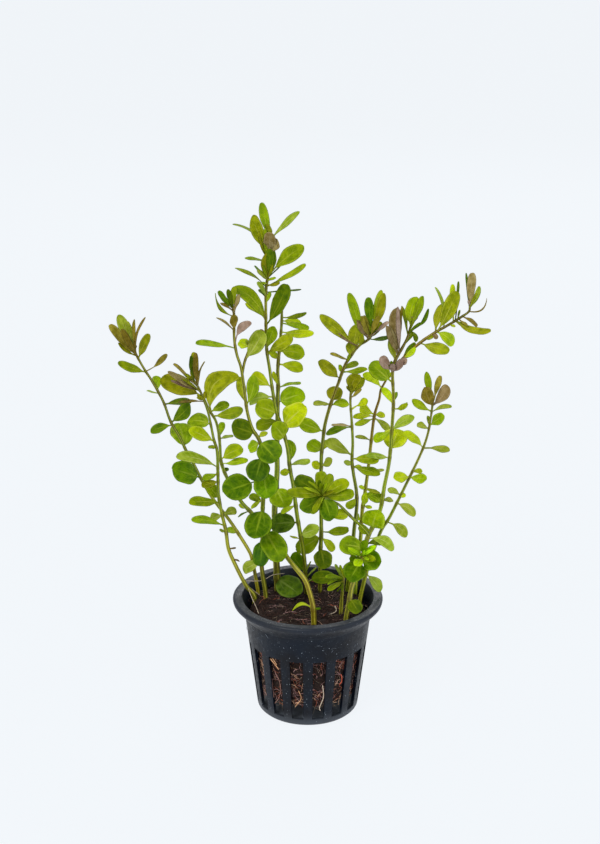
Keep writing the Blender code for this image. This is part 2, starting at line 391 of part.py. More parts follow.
RIGHT_REACH = Stem("right_reach", (0.6, 0.42), (
    (31.2, 132.6, 2.4), (35.5, 137.4, 1), (40.0, 141.4, 0), (43.7, 144.0, -1), (48.7, 147.0, -2),
    (53.2, 150.0, -2.5), (55.2, 151.6, -2.5), (55.4, 153.4, -2.5),
), (
    Leaf(31.2, 132.4, 34.4, 134.2, 2.6, -2, 20, 0, "rose"),
    Leaf(32.6, 134.2, 36.9, 140.4, 1.5, 2, 40, 0.3, "olive"),
    Leaf(33.0, 134.7, 37.3, 138.4, 2.2, -2, 30, -0.4, "fresh"),
    Leaf(38.6, 140.2, 48.8, 137.2, 4.2, -3, 15, 0, "mid"),
    Leaf(40.2, 141.5, 43.3, 142.6, 1.6, -1, 30, 0, "yellow"),
    Leaf(44.0, 144.2, 50.2, 139.4, 4.0, -3, 12, 0.9, "fresh"),
    Leaf(43.8, 144.0, 44.1, 141.6, 1.8, -2, 20, 0, "pink"),
    Leaf(43.8, 144.2, 46.6, 154.2, 3.6, 3, 20, 0.6, "olive"),
    Leaf(46.6, 145.8, 43.3, 160.2, 1.2, 3, 50, -0.8, "mid"),
    Leaf(44.6, 144.6, 50.9, 158.6, 5.2, -3, 12, -0.4, "mid"),
    Leaf(50.0, 147.8, 49.2, 161.2, 2.1, 2, 20, 0, "yellow", 0.3),
    Leaf(50.6, 148.2, 51.2, 162.2, 1.0, 4, 50, 0, "deep", 0.35),
    Leaf(55.3, 152.8, 55.9, 165.2, 3.2, -1, 15, 0, "pink"),
    Leaf(55.2, 152.6, 53.7, 165.2, 0.9, 2, 60, 0, "deep"),
    Leaf(55.4, 152.8, 58.6, 160.4, 2.0, -2, 30, -0.5, "fresh"),
    Leaf(50.6, 148.2, 63.0, 144.6, 2.8, -4, 30, -1.4, "olive"),
    Leaf(53.0, 149.8, 58.3, 146.4, 1.6, 2, 35, 0, "deep"),
    Leaf(51.6, 148.8, 54.8, 146.4, 1.0, -2, 45, 0, "deep"),
    Leaf(50.8, 148.2, 54.5, 145.6, 1.2, 2, 40, 0, "mid"),
    Leaf(48.6, 147.0, 50.6, 146.0, 1.0, -1, 30, 0, "yellow"),
    Leaf(55.2, 151.6, 61.1, 156.4, 0.5, -2, 0, -2.2, "bronze"),
))

FAR_RIGHT = Stem("far_right", (0.8, 0.45), (
    (19.2, 42.0, 1), (20.9, 51.0, 0.5), (22.5, 58.0, 0), (24.5, 64.0, -1), (26.6, 70.0, -2),
    (29.2, 74.5, -3), (31.9, 80.5, -4), (34.8, 87.1, -5), (38.3, 95.2, -6.5), (40.8, 101.6, -7.5),
    (42.3, 107.0, -8.5), (43.1, 112.4, -9), (43.6, 117.6, -10),
), (
    Leaf(43.5, 117.2, 40.6, 124.2, 4.6, -2, 10, 0.3, "bronze"),
    Leaf(43.6, 117.4, 48.7, 124.8, 4.2, 2, 12, -0.8, "pink"),
    Leaf(43.6, 117.4, 41.0, 129.8, 2.4, -1, 20, 0, "mid", 0.3),
    Leaf(43.6, 117.5, 46.1, 128.4, 2.2, 3, 25, 0, "mid", 0.3),
    Leaf(43.3, 115.2, 36.3, 119.2, 2.8, -2, 25, 0, "fresh"),
    Leaf(43.3, 114.8, 50.4, 117.0, 1.6, -3, 40, 0.6, "mid"),
    Leaf(42.8, 109.8, 47.7, 113.8, 3.9, -2, 15, 0, "mid"),
    Leaf(42.8, 109.6, 42.2, 113.6, 1.5, 2, 30, 0, "mid"),
    Leaf(42.6, 108.8, 38.5, 110.9, 2.3, 2, 30, 0.4, "pale"),
    Leaf(40.8, 101.4, 50.2, 100.8, 2.6, 2, 25, 0.3, "pale", 0.25),
    Leaf(40.6, 101.2, 33.3, 107.4, 3.1, -3, 25, -0.7, "mid"),
    Leaf(37.2, 92.4, 40.6, 92.8, 2.0, 2, 20, 0, "mid"),
    Leaf(36.3, 90.6, 30.4, 90.2, 4.0, -3, 15, 0, "fresh"),
    Leaf(36.2, 90.2, 42.4, 89.6, 3.6, -3, 15, 0, "fresh"),
    Leaf(33.3, 83.5, 28.7, 86.1, 2.4, 2, 25, 0, "fresh"),
    Leaf(33.2, 83.4, 35.0, 83.0, 1.8, -1, 20, 0, "yellow"),
    Leaf(31.9, 80.2, 38.6, 75.4, 3.4, -2, 20, 0.6, "pale"),
    Leaf(28.4, 73.0, 35.8, 67.3, 3.7, -3, 15, 0.8, "blue", 0.25),
    Leaf(21.2, 52.4, 26.9, 45.6, 4.0, 0, 20, 0.4, "pale"),
))

FRONT_BRANCH = Stem("front_branch", (0.6, 0.5), (
    (20.9, 69.4, -8.8), (18.6, 72.0, -9.5), (16.4, 74.1, -10.5), (13.6, 77.2, -11.5),
    (10.9, 79.9, -12.5), (8.4, 81.3, -13), (5.0, 83.2, -14),
), (
    Leaf(5.0, 83.4, -4.7, 89.8, 6.0, -1, 12, -0.4, "deep"),
    Leaf(5.1, 83.4, 4.5, 92.6, 4.6, 4, 10, 0, "mid"),
    Leaf(5.2, 83.3, 8.4, 91.6, 3.4, 1, 15, 0, "mid"),
    Leaf(5.4, 83.2, 14.6, 88.6, 4.6, -2, 15, 0.4, "mid"),
    Leaf(5.4, 83.1, 16.6, 84.0, 4.4, -3, 15, -0.2, "mid"),
    Leaf(5.4, 82.8, 8.2, 73.4, 7.0, -5, 10, 0.3, "deep"),
    Leaf(5.0, 83.0, -2.7, 78.0, 6.4, -2, 10, 0.6, "deep"),
    Leaf(5.0, 83.0, 1.8, 76.2, 2.4, -8, 15, 0, "yellow"),
    Leaf(5.0, 83.2, -7.6, 84.4, 3.8, -7, 20, 0, "fresh"),
    Leaf(5.0, 83.4, -1.6, 86.4, 1.2, -6, 30, 0, "pale"),
    Leaf(5.0, 83.6, 4.6, 88.0, 1.8, -6, 20, 0, "deep"),
    Leaf(5.2, 83.6, 7.0, 88.2, 1.0, -6, 45, 0, "yellow"),
    Leaf(15.0, 75.6, 9.0, 75.2, 4.0, -1, 20, -0.4, "mid"),
))

LOW_SHOOT = Stem("low_shoot", (0.8, 0.6), (
    (12.3, 38.2, -7), (12.6, 44.0, -7.5), (13.1, 50.8, -8),
), (
    Leaf(13.1, 50.6, 6.4, 51.2, 1.8, -3, 30, -0.4, "yellow"),
    Leaf(13.1, 50.6, 9.8, 56.2, 1.3, -1, 45, 0, "pale"),
    Leaf(13.1, 50.6, 15.4, 56.4, 2.6, 2, 20, 0, "pale"),
    Leaf(13.0, 50.2, 9.0, 50.2, 1.6, -1, 35, 0, "deep"),
    Leaf(13.0, 49.8, 7.3, 45.8, 2.4, -3, 30, 0, "mid"),
    Leaf(13.0, 50.4, 1.6, 51.4, 5.0, 4, 25, 0, "deep"),
))

STEMS = (
    FAR_LEFT, LEFT, LEFT_FRONT, MID_LEFT, MID_LEFT_FORK, TALL, TALL_BACK, MID_RIGHT, RIGHT_SLIM,
    RIGHT_BACK, RIGHT_MAIN, RIGHT_CROWN, RIGHT_REACH, FAR_RIGHT, FRONT_BRANCH, LOW_SHOOT,
)


def place(x, z, depth):
    """The real point that is seen at (x, z) on the upright plane and lies this far behind it."""
    reach = (depth - EYE.y) / -EYE.y
    return EYE + (Vector((x, 0.0, z)) - EYE) * reach


def nearest_on_segment(point, start, end):
    """The share of the way along the segment where it passes nearest to the point."""
    span = end - start
    share = (point - start).dot(span) / span.length_squared
    return min(max(share, 0.0), 1.0)


def stem_point(stem, x, z):
    """The place on the stem's axis that is seen nearest to (x, z)."""
    seen = Vector((x, z))
    best_gap = math.inf
    for (xa, za, depth_a), (xb, zb, depth_b) in zip(stem.route, stem.route[1:]):
        share = nearest_on_segment(seen, Vector((xa, za)), Vector((xb, zb)))
        there = Vector((xa, za)).lerp(Vector((xb, zb)), share)
        gap = (there - seen).length
        if gap < best_gap:
            best_gap = gap
            best = place(there.x, there.y, depth_a + share * (depth_b - depth_a))
    return best


def gap_to_axis(stem, point):
    """How far the point is from the stem's axis."""
    axis = [place(*stop) for stop in stem.route]
    gaps = []
    for start, end in zip(axis, axis[1:]):
        share = nearest_on_segment(point, start, end)
        gaps.append((start.lerp(end, share) - point).length)
    return min(gaps)


def lean(leaf):
    """How much farther away the tip is: a flat leaf gains depth, and one that points at the eye keeps it."""
    seen_length = math.hypot(leaf.x1 - leaf.x0, leaf.z1 - leaf.z0)
    gained = min(abs(leaf.away) * DEPTH_GAIN, seen_length * MOST_GAINED)
    return math.copysign(max(abs(leaf.away), gained), leaf.away)


class Blade:
    """A leaf's real foot, tip and facing, and its half width and centre line along its length."""

    def __init__(self, stem, leaf):
        self.foot = stem_point(stem, leaf.x0, leaf.z0)
        foot_depth = self.foot.y
        self.tip = place(leaf.x1, leaf.z1, foot_depth + lean(leaf))
        along = (self.tip - self.foot).normalized()
        look = ((self.foot + self.tip) / 2 - EYE).normalized()
        left = along.cross(look).normalized()
        front = along.cross(left)
        turn = math.radians(leaf.turn) * (1 if left.z > 0 else -1)
        self.left = left
        self.across = left * math.cos(turn) - front * math.sin(turn)
        self.face = front * math.cos(turn) + left * math.sin(turn)
        self.width = leaf.seen / math.cos(math.radians(leaf.turn))
        self.bow = leaf.bow
        self.stalk = leaf.stalk
        is_round = self.width > ROUND_SHARE * (self.tip - self.foot).length
        self.skew = ROUND_SKEW if is_round else NARROW_SKEW
        self.fullness = ROUND_FULLNESS if is_round else NARROW_FULLNESS

    def centre(self, share):
        straight = self.foot.lerp(self.tip, share)
        return straight + self.left * self.bow * 4 * share * (1 - share)

    def half_width(self, share):
        blade_share = (share - self.stalk) / (1 - self.stalk)
        if blade_share <= 0:
            return STALK_HALF_WIDTH
        swell = math.sin(math.pi * blade_share**self.skew) ** self.fullness
        return max(self.width / 2 * swell, STALK_HALF_WIDTH)


def new_object(name, bm):
    """An object of this name that holds the mesh."""
    mesh = bpy.data.meshes.new(name)
    bm.to_mesh(mesh)
    bm.free()
    return bpy.data.objects.new(name, mesh)


def leaf_solid(name, blade, sides, stations, start):
    """A flat spindle from the given share of the leaf's length to its tip."""
    bm = bmesh.new()
    last = len(stations) - 1
    bmesh.ops.create_uvsphere(bm, u_segments=sides, v_segments=last, radius=1.0)
    first_corner = math.pi / 2 if sides == 3 else 0.0
    widest = math.cos(math.pi / 6) if sides == 3 else 1.0
    for vertex in bm.verts:
        ring = round(math.acos(max(-1.0, min(1.0, -vertex.co.z))) / math.pi * last)
        share = start + (1 - start) * stations[ring]
        centre = blade.centre(share)
        if ring in (0, last):
            vertex.co = centre * MM
            continue
        corner = math.atan2(vertex.co.y, vertex.co.x) + first_corner
        half = blade.half_width(share)
        aside = blade.across * (half * math.cos(corner) / widest)
        lift = LEAF_THICKNESS / 2 * math.sin(corner) + FOLD * half * abs(math.cos(corner))
        vertex.co = (centre + aside + blade.face * lift) * MM
    return new_object(name, bm)


def clear_start(stem, blade):
    """The share of the leaf's length where it is clear of its own stem."""
    needed = max(stem.radius) + GAP + LEAF_THICKNESS / 2
    share = 0.0
    while gap_to_axis(stem, blade.centre(share)) < needed:
        share += 0.01
    return share


def tube(name, points, radii):
    """A closed round bar along the points."""
    curve = bpy.data.curves.new(name, "CURVE")
    curve.dimensions = "3D"
    curve.bevel_depth = MM
    curve.bevel_resolution = 0
    curve.use_fill_caps = True
    spline = curve.splines.new("POLY")
    spline.points.add(len(points) - 1)
    for stop, point, radius in zip(spline.points, points, radii):
        stop.co = (*(point * MM), 1.0)
        stop.radius = radius
    guide = bpy.data.objects.new(name + "_guide", curve)
    helpers.objects.link(guide)
    graph = bpy.context.evaluated_depsgraph_get()
    mesh = bpy.data.meshes.new_from_object(guide.evaluated_get(graph))
    mesh.materials.clear()
    bpy.data.objects.remove(guide)
    bm = bmesh.new()
    bm.from_mesh(mesh)
    bpy.data.meshes.remove(mesh)
    bmesh.ops.remove_doubles(bm, verts=bm.verts, dist=0.00001)
    return new_object(name, bm)


def turned(name, profile, sides):
    """A round body whose profile of (radius, height) runs down its outer side."""
    mesh = bpy.data.meshes.new(name)
    corners = [(radius * MM, 0.0, height * MM) for radius, height in profile]
    mesh.from_pydata(corners, [(i, i + 1) for i in range(len(corners) - 1)], [])
    body = bpy.data.objects.new(name, mesh)
    screw = body.modifiers.new("round", "SCREW")
    screw.axis = "Z"
    screw.angle = 2 * math.pi
    screw.steps = sides
    screw.render_steps = sides
    screw.use_merge_vertices = True
    screw.merge_threshold = 0.00005
    screw.use_smooth_shade = False
    return body


def boolean(body, operation, collection):
    change = body.modifiers.new(operation.lower(), "BOOLEAN")
    change.operation = operation
    change.solver = "EXACT"
    change.operand_type = "COLLECTION"
    change.collection = collection


def hidden_collection(name):
    """A collection of helpers that cut or join and aren't pieces."""
    made = bpy.data.collections.new(name)
    made.hide_render = True
    helpers.children.link(made)
    return made


def add_helper(collection, helper):
    helper.hide_render = True
    helper.display_type = "WIRE"
    collection.objects.link(helper)


def material(name, colour, roughness):
    made = bpy.data.materials.new(name)
    made.use_nodes = True
    shader = made.node_tree.nodes["Principled BSDF"]
    shader.inputs["Base Color"].default_value = (*colour, 1.0)
    shader.inputs["Roughness"].default_value = roughness
    made.diffuse_color = (*colour, 1.0)
    return made


def add_piece(piece, look):
    piece.data.materials.append(look)
    parts.objects.link(piece)


def wall_radius(height):
    """The outer radius of the tapering wall."""
    share = (height - BASE_CORNER) / (WALL_TOP - BASE_CORNER)
    return BASE_RADIUS + share * (WALL_TOP_RADIUS - BASE_RADIUS)


def build_pot():
    pot = turned(
        "net_pot",
        (
            (0.0, FLOOR),
            (wall_radius(FLOOR) - WALL, FLOOR),
            (WALL_TOP_RADIUS - WALL, WALL_TOP),
            (RIM_INNER_RADIUS, POT_HEIGHT),
            (RIM_RADIUS - RIM_EDGE, POT_HEIGHT),
            (RIM_RADIUS, POT_HEIGHT - RIM_EDGE),
            *SKIRT,
            (WALL_TOP_RADIUS, WALL_TOP),
            (BASE_RADIUS, BASE_CORNER),
            (BASE_RADIUS - BASE_CORNER, 0.0),
            (0.0, 0.0),
        ),
        POT_SIDES,
    )
    slots = hidden_collection("slots")
    bm = bmesh.new()
    for number in range(SLOT_COUNT):
        angle = math.radians(SLOT_TURN - 90 + number * 360 / SLOT_COUNT)
        outward = Vector((math.cos(angle), math.sin(angle), 0.0))
        sideways = Vector((-outward.y, outward.x, 0.0))
        for vertex in bmesh.ops.create_cube(bm, size=2.0)["verts"]:
            is_top = vertex.co.z > 0
            is_outer = vertex.co.x > 0
            reach = SLOT_OUTER_REACH if is_outer else SLOT_INNER_REACH
            width = SLOT_TOP_WIDTH if is_top else SLOT_BOTTOM_WIDTH
            height = SLOT_TOP if is_top else SLOT_BOTTOM
            flat = outward * reach + sideways * (vertex.co.y * width / 2)
            vertex.co = Vector((flat.x, flat.y, height)) * MM
    add_helper(slots, new_object("slot_cutter", bm))
    boolean(pot, "DIFFERENCE", slots)
    add_piece(pot, material("black_plastic", (0.03, 0.033, 0.04), 0.45))


def planted(stem):
    """Whether the stem stands in the plug, and isn't the fork of another one."""
    return place(*stem.route[0]).z < POT_HEIGHT


def build_plug():
    plug = turned(
        "coir_plug",
        (
            (0.0, PLUG_TOP),
            (PLUG_TOP_RADIUS, PLUG_TOP),
            (wall_radius(PLUG_SHOULDER) - WALL - GAP, PLUG_SHOULDER),
            (wall_radius(PLUG_BOTTOM) - WALL - GAP, PLUG_BOTTOM),
            (0.0, PLUG_BOTTOM),
        ),
        PLUG_SIDES,
    )
    holes = hidden_collection("planting_holes")
    for stem in filter(planted, STEMS):
        spot = place(*stem.route[0])
        radius = (stem.radius[0] + GAP * 2) * MM
        bm = bmesh.new()
        made = bmesh.ops.create_cone(
            bm,
            cap_ends=True,
            segments=HOLE_SIDES,
            radius1=radius,
            radius2=radius,
            depth=2 * PLANTING_DEPTH * MM,
        )
        bmesh.ops.translate(bm, verts=made["verts"], vec=Vector((spot.x, spot.y, PLUG_TOP)) * MM)
        add_helper(holes, new_object("hole_" + stem.name, bm))
    boolean(plug, "DIFFERENCE", holes)
    add_piece(plug, material("coir", (0.19, 0.1, 0.05), 0.95))


def build_stem(stem, stem_look, leaf_look):
    """The stem with its lesser leaves grown on, and each broad leaf as a piece beside it."""
    points = [place(*stop) for stop in stem.route]
    last = len(points) - 1
    radii = [stem.radius[0] + (stem.radius[1] - stem.radius[0]) * i / last for i in range(last + 1)]
    if planted(stem):
        foot = points[0]
        points.insert(0, Vector((foot.x, foot.y, PLUG_TOP - PLANTING_DEPTH + GAP)))
        radii.insert(0, radii[0])
    bud_way = (points[-1] - points[-2]).normalized()
    points.append(points[-1] + bud_way * BUD_LENGTH)
    radii.append(BUD_RADIUS)
    name = "stem_" + stem.name
    body = tube(name, points, radii)
    grown = hidden_collection(name + "_leaves")
    broad_count = 0
    for number, leaf in enumerate(stem.leaves):
        blade = Blade(stem, leaf)
        if leaf.seen >= OWN_PIECE_WIDTH:
            broad_count += 1
            start = clear_start(stem, blade)
            piece = leaf_solid(f"leaf_{stem.name}_{broad_count}", blade, 4, WIDE_STATIONS, start)
            add_piece(piece, leaf_look)
        elif blade.width < SLIM_WIDTH:
            add_helper(grown, leaf_solid(f"{name}_slim_{number}", blade, 3, SLIM_STATIONS, 0.0))
        else:
            add_helper(grown, leaf_solid(f"{name}_leaf_{number}", blade, 3, PLAIN_STATIONS, 0.0))
    if grown.objects:
        boolean(body, "UNION", grown)
    add_piece(body, stem_look)


for old in list(bpy.data.objects):
    bpy.data.objects.remove(old)
bpy.context.scene.unit_settings.system = "METRIC"
bpy.context.scene.unit_settings.scale_length = 1.0
parts = bpy.data.collections.new("potted_rotala")
helpers = bpy.data.collections.new("cutters")
helpers.hide_render = True
bpy.context.scene.collection.children.link(parts)
bpy.context.scene.collection.children.link(helpers)
build_pot()
build_plug()
stem_green = material("stem_green", (0.22, 0.33, 0.07), 0.5)
leaf_green = material("leaf_green", (0.16, 0.36, 0.06), 0.5)
for each_stem in STEMS:
    build_stem(each_stem, stem_green, leaf_green)
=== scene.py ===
"""The looks of a bunch of dwarf rotala in a net pot: veined leaves, stems, coir fibre and satin plastic."""

from collections import namedtuple
import math
import random

import bmesh
import bpy
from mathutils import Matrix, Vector, noise


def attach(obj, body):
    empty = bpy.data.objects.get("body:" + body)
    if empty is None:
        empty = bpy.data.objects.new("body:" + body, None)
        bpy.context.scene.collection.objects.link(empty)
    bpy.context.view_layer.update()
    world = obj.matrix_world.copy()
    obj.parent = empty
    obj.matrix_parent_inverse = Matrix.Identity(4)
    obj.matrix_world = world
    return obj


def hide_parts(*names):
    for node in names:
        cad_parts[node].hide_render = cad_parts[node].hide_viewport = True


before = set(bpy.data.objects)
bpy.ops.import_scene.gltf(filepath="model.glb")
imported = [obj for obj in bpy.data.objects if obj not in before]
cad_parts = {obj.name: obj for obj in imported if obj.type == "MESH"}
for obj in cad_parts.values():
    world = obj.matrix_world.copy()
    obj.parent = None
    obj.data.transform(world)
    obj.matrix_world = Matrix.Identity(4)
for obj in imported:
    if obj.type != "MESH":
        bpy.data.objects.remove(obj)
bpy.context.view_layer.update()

# Every size below is in millimetres, and this makes metres of it.
MM = 0.001
UP = Vector((0.0, 0.0, 1.0))

# Touching pieces keep this much air between them.
GAP = 0.3

# The pot stands on the ground with its axis upright through the origin. Below the flat ring of its
# rim a hollow skirt, given by radius and height, draws in to the tapering wall.
POT_HEIGHT = 43.9
RIM_RADIUS = 27.5
RIM_INNER_RADIUS = 24.0
RIM_EDGE = 0.6
SKIRT = ((27.3, 42.2), (25.9, 40.6), (24.0, 38.4))
WALL_TOP = 37.6
WALL_TOP_RADIUS = 23.15
BASE_RADIUS = 18.7
BASE_CORNER = 0.9
WALL = 1.2
FLOOR = 1.4
POT_SIDES = 192
POT_MERGE = 0.05
POT_ROUNDING = 0.3
POT_ROUNDING_STEPS = 3
ROUNDED_ANGLE = 20.0
SHARP_ANGLE = 32.0

# Upright slots run round the wall.
SLOT_COUNT = 16
SLOT_TOP = 27.6
SLOT_BOTTOM = 2.9
SLOT_TOP_WIDTH = 5.0
SLOT_BOTTOM_WIDTH = 4.3
SLOT_TURN = 11.25
SLOT_INNER_REACH = 14.5
SLOT_OUTER_REACH = 30.0

# The pot's plastic by height: scuffed up to here, painted paler over one span near the base as light
# thrown up from the pale floor, and paler over the rim's span as a painted highlight. Its wall is
# paler inside too, within one span of radius and below one of height.
SCUFF_TOP = 14.0
BASE_BOUNCE_LIGHT_SPAN = (0.6, 6.0)
RIM_HIGHLIGHT_SPAN = (40.0, 43.0)
INSIDE_SPAN = (17.2, 17.9)
INSIDE_TOP_SPAN = (7.0, 9.0)

# The plug is wedged in the pot above the floor, and its top falls away towards the wall.
PLUG_TOP = 40.2
PLUG_TOP_RADIUS = 19.6
PLUG_SHOULDER = 37.2
PLUG_BOTTOM = 8.0
PLUG_SIDES = 150
PLUG_ROWS = 90
PLUG_LUMPS = 0.9
PLUG_GRAIN = 0.35
PLUG_FRACTAL = (0.8, 2.0, 4)
PLUG_SINK = 0.35
PLUG_START = 0.002
PLUG_SPAN = 0.996
PLANTING_DEPTH = 3.0

# Loose fibres stand a little off the plug: how many on its wall, under its edge and on its top, how
# long and how thick they are, and how far they lift.
WALL_STRAWS = 2300
WALL_STRAW_LENGTH = (1.8, 6.5)
LOW_STRAWS = 130
LOW_STRAW_LENGTH = (2.0, 5.0)
TOP_STRAWS = 1300
TOP_STRAW_LENGTH = (1.6, 6.5)
STRAW_RADIUS = (0.05, 0.13)
STRAW_LIFT = 0.4
STRAW_STEPS = 7
STRAW_SIDES = 4

# A fibre sets off with a turn, changes it a little at each step, bends by this share of it, and
# thins by this share. Those on the wall stand about upright, spread by this many radians.
STRAW_TURN = 0.5
STRAW_WANDER = 0.25
STRAW_BEND = 0.6
STRAW_TAPER = 0.5
WALL_STRAW_SPREAD = 0.75
LOW_STRAW_SLANT = 0.8

# Where fibres start: at these heights and this deep in the wall, this deep and this far above the
# plug's foot, and over these heights about its top, where they also tilt.
WALL_STRAW_HEIGHTS = (PLUG_BOTTOM - 1.0, SLOT_TOP + 3.0)
WALL_STRAW_DEPTH = 0.2
LOW_STRAW_DEPTH = 1.0
LOW_STRAW_RISE = 0.5
TOP_STRAW_RISE = (-0.5, 0.3)
TOP_STRAW_TILT = (-0.1, 0.15)

# How often each kind of fibre comes: dark, red, tan, grey and mauve.
STRAW_KINDS = (0, 1, 2, 3, 4)
WALL_STRAW_SHARES = (9, 4, 2, 2, 6)
TOP_STRAW_SHARES = (60, 1, 1, 4, 2)
GREY_STRAW = 3

# Short hairs cling to the pot's wall.
LINT_HAIRS = 50
LINT_HEIGHTS = (26.0, 37.0)
LINT_LENGTH = (0.8, 2.4)
LINT_RADIUS = 0.05

# Roots stand this far off the plug's wall, and it takes a few rounds to find such a place.
ROOT_LIFT = 0.8
ROOT_ROUNDS = 12
ROOT_STEP = 0.7
ROOT_SIDES = 6

# A round leaf is widest near its middle, and a narrow one nearer its tip.
ROUND_SHARE = 0.55
ROUND_SKEW = 0.92
ROUND_FOOT_FULLNESS = 0.52
NARROW_SKEW = 1.35
NARROW_FOOT_FULLNESS = 0.6
TIP_FULLNESS = 0.38
STALK_HALF_WIDTH = 0.3
FOLD = 0.1

# No two leaves are the same: how far their shape strays from the values above, and, as shares of
# their size, how uneven their margin, how arched their length and how wavy their edge is.
SKEW_SPREAD = (0.92, 1.1)
TIP_SPREAD = (0.85, 1.2)
FOLD_SPREAD = (0.7, 1.9)
UNEVENNESS = (0.02, 0.07)
ARCHING = (-0.04, 0.07)
WAVINESS = (0.02, 0.09)

# The ripples of the margin and of the edge turn by so many radians along the leaf, and on its left
# half they are so many radians ahead. The fold along the rib is rounded a little.
MARGIN_TURNS = (7.0, 17.0)
MARGIN_LEAD = 2.1
EDGE_TURN = 9.0
EDGE_LEAD = 1.6
FOLD_ROUNDING = 0.03

# A leaf is a thin skin, thicker at the midrib, with this many steps along and across it.
RIB_THICKNESS = 0.34
EDGE_THICKNESS = 0.1
LEAF_ROWS = 14
LEAF_COLUMNS = 8
STALK_ROWS = 3
TIP_HALF_WIDTH = 0.04

# A leaf has a dark margin this wide, up to this share of its half width.
EDGE_WIDTH = 0.2
MOST_EDGE = 0.3

# A leaf at least this wide is a piece of its own.
OWN_PIECE_WIDTH = 5.1

# A leaf leans this many times its listed depth, up to this share of the length that is seen.
DEPTH_GAIN = 1.8
MOST_GAINED = 0.9

# Stems are round, a little slimmer at foot and tip than listed, swell where leaves sit, and end in
# a small bud.
STEM_SIDES = 12
SLIMMING = (0.95, 0.78)
STEM_STEP = 0.9
NODE_SWELL = 0.16
NODE_LENGTH = 0.9
BUD_LENGTH = 0.8
BUD_RADIUS = 0.25

# Folded leaflets stand round a growing tip: how many, how far they turn from its way in radians,
# how long they are, and how wide for that. The rest is as for the leaves below.
YOUNG_COUNT = 5
YOUNG_SPREAD = 0.9
YOUNG_LENGTH = (1.6, 3.4)
YOUNG_WIDTH = (0.3, 0.42)
YOUNG_AWAY = (-1.5, 1.0)
YOUNG_TURN = 20
YOUNG_STALK = 0.02

# The routes and leaves below are as they look from here: this point is in front of the pot and above it.
EYE = Vector((-2.86, -518.0, 296.1))
EYE_PITCH = 19.64
EYE_LENS = 66.63
EYE_SENSOR = 36.0

# The studio's back and ground, and its lamps by place and size in metres, power and colour.
PALE = (241, 245, 249)
ROOM_LIGHT = 0.75
GROUND_SIZE = 24.0
GROUND_GLOW = 0.965
LAMPS = (
    ("key_light", (-0.5, -0.7, 0.9), 0.5, 9.0, (1.0, 0.99, 0.96)),
    ("fill_light", (0.8, -0.5, 0.5), 0.7, 3.0, (0.95, 0.98, 1.0)),
    ("back_light", (0.2, 0.9, 0.7), 0.7, 5.0, (1.0, 1.0, 0.97)),
)
LAMP_TARGET = Vector((0.0, 0.0, 0.08))

# Each kind of leaf by its dark and its light flesh, its veins and the light it lets through. Every
# colour is as a screen shows it, from 0 to 255.
LeafTint = namedtuple("LeafTint", "dark light vein through")
LEAF_TINTS = {
    "deep": LeafTint((66, 96, 0), (108, 134, 0), (156, 176, 40), (132, 168, 0)),
    "mid": LeafTint((104, 128, 0), (148, 168, 6), (196, 206, 70), (176, 198, 0)),
    "fresh": LeafTint((124, 150, 0), (170, 190, 8), (212, 222, 84), (192, 212, 0)),
    "yellow": LeafTint((156, 176, 0), (204, 220, 20), (232, 236, 104), (218, 232, 10)),
    "young": LeafTint((172, 216, 0), (214, 242, 16), (232, 246, 96), (214, 244, 0)),
    "pale": LeafTint((124, 146, 22), (174, 188, 66), (212, 218, 122), (190, 204, 60)),
    "olive": LeafTint((112, 122, 0), (168, 172, 20), (198, 196, 76), (184, 188, 8)),
    "bronze": LeafTint((112, 104, 16), (166, 152, 56), (188, 170, 90), (180, 162, 40)),
    "pink": LeafTint((130, 112, 62), (176, 158, 108), (200, 178, 134), (176, 156, 90)),
    "rose": LeafTint((150, 124, 104), (192, 168, 150), (206, 184, 166), (184, 156, 136)),
    "blue": LeafTint((58, 88, 0), (104, 134, 26), (144, 168, 70), (122, 154, 14)),
    "grass": LeafTint((86, 122, 0), (130, 166, 0), (178, 206, 56), (142, 190, 0)),
    "forest": LeafTint((50, 86, 0), (84, 120, 0), (136, 166, 44), (104, 152, 0)),
    "bark": LeafTint((84, 66, 24), (130, 104, 50), (146, 120, 66), (110, 90, 34)),
}
LEAF_THROUGH = 0.42
EDGE_DARKNESS = 0.62

# A leaf's side veins beat like a wave with so many radians to its length, and slant. Then how
# strongly each part shows over the flesh.
VEIN_BEAT = 46.0
VEIN_SLANT = 0.22
MIDDLE_SHOWS = 0.22
SIDE_VEIN_SHOWS = 0.16
FAN_SHOWS = 0.4
FOOT_SHOWS = 0.35
RIB_SHOWS = 0.75
RIM_SHOWS = 0.4
EDGE_SHOWS = 0.8

# Stem colours, which follow one another from the plug to the tip.
STRAW = (158, 156, 40)
GOLD = (138, 142, 8)
LIME = (116, 142, 0)
GREEN = (98, 122, 0)
DARK = (72, 86, 0)
OLIVE = (94, 98, 0)
BROWN = (88, 74, 6)
RUST = (112, 76, 26)
MOSS = (106, 106, 34)
UMBER = (122, 106, 18)

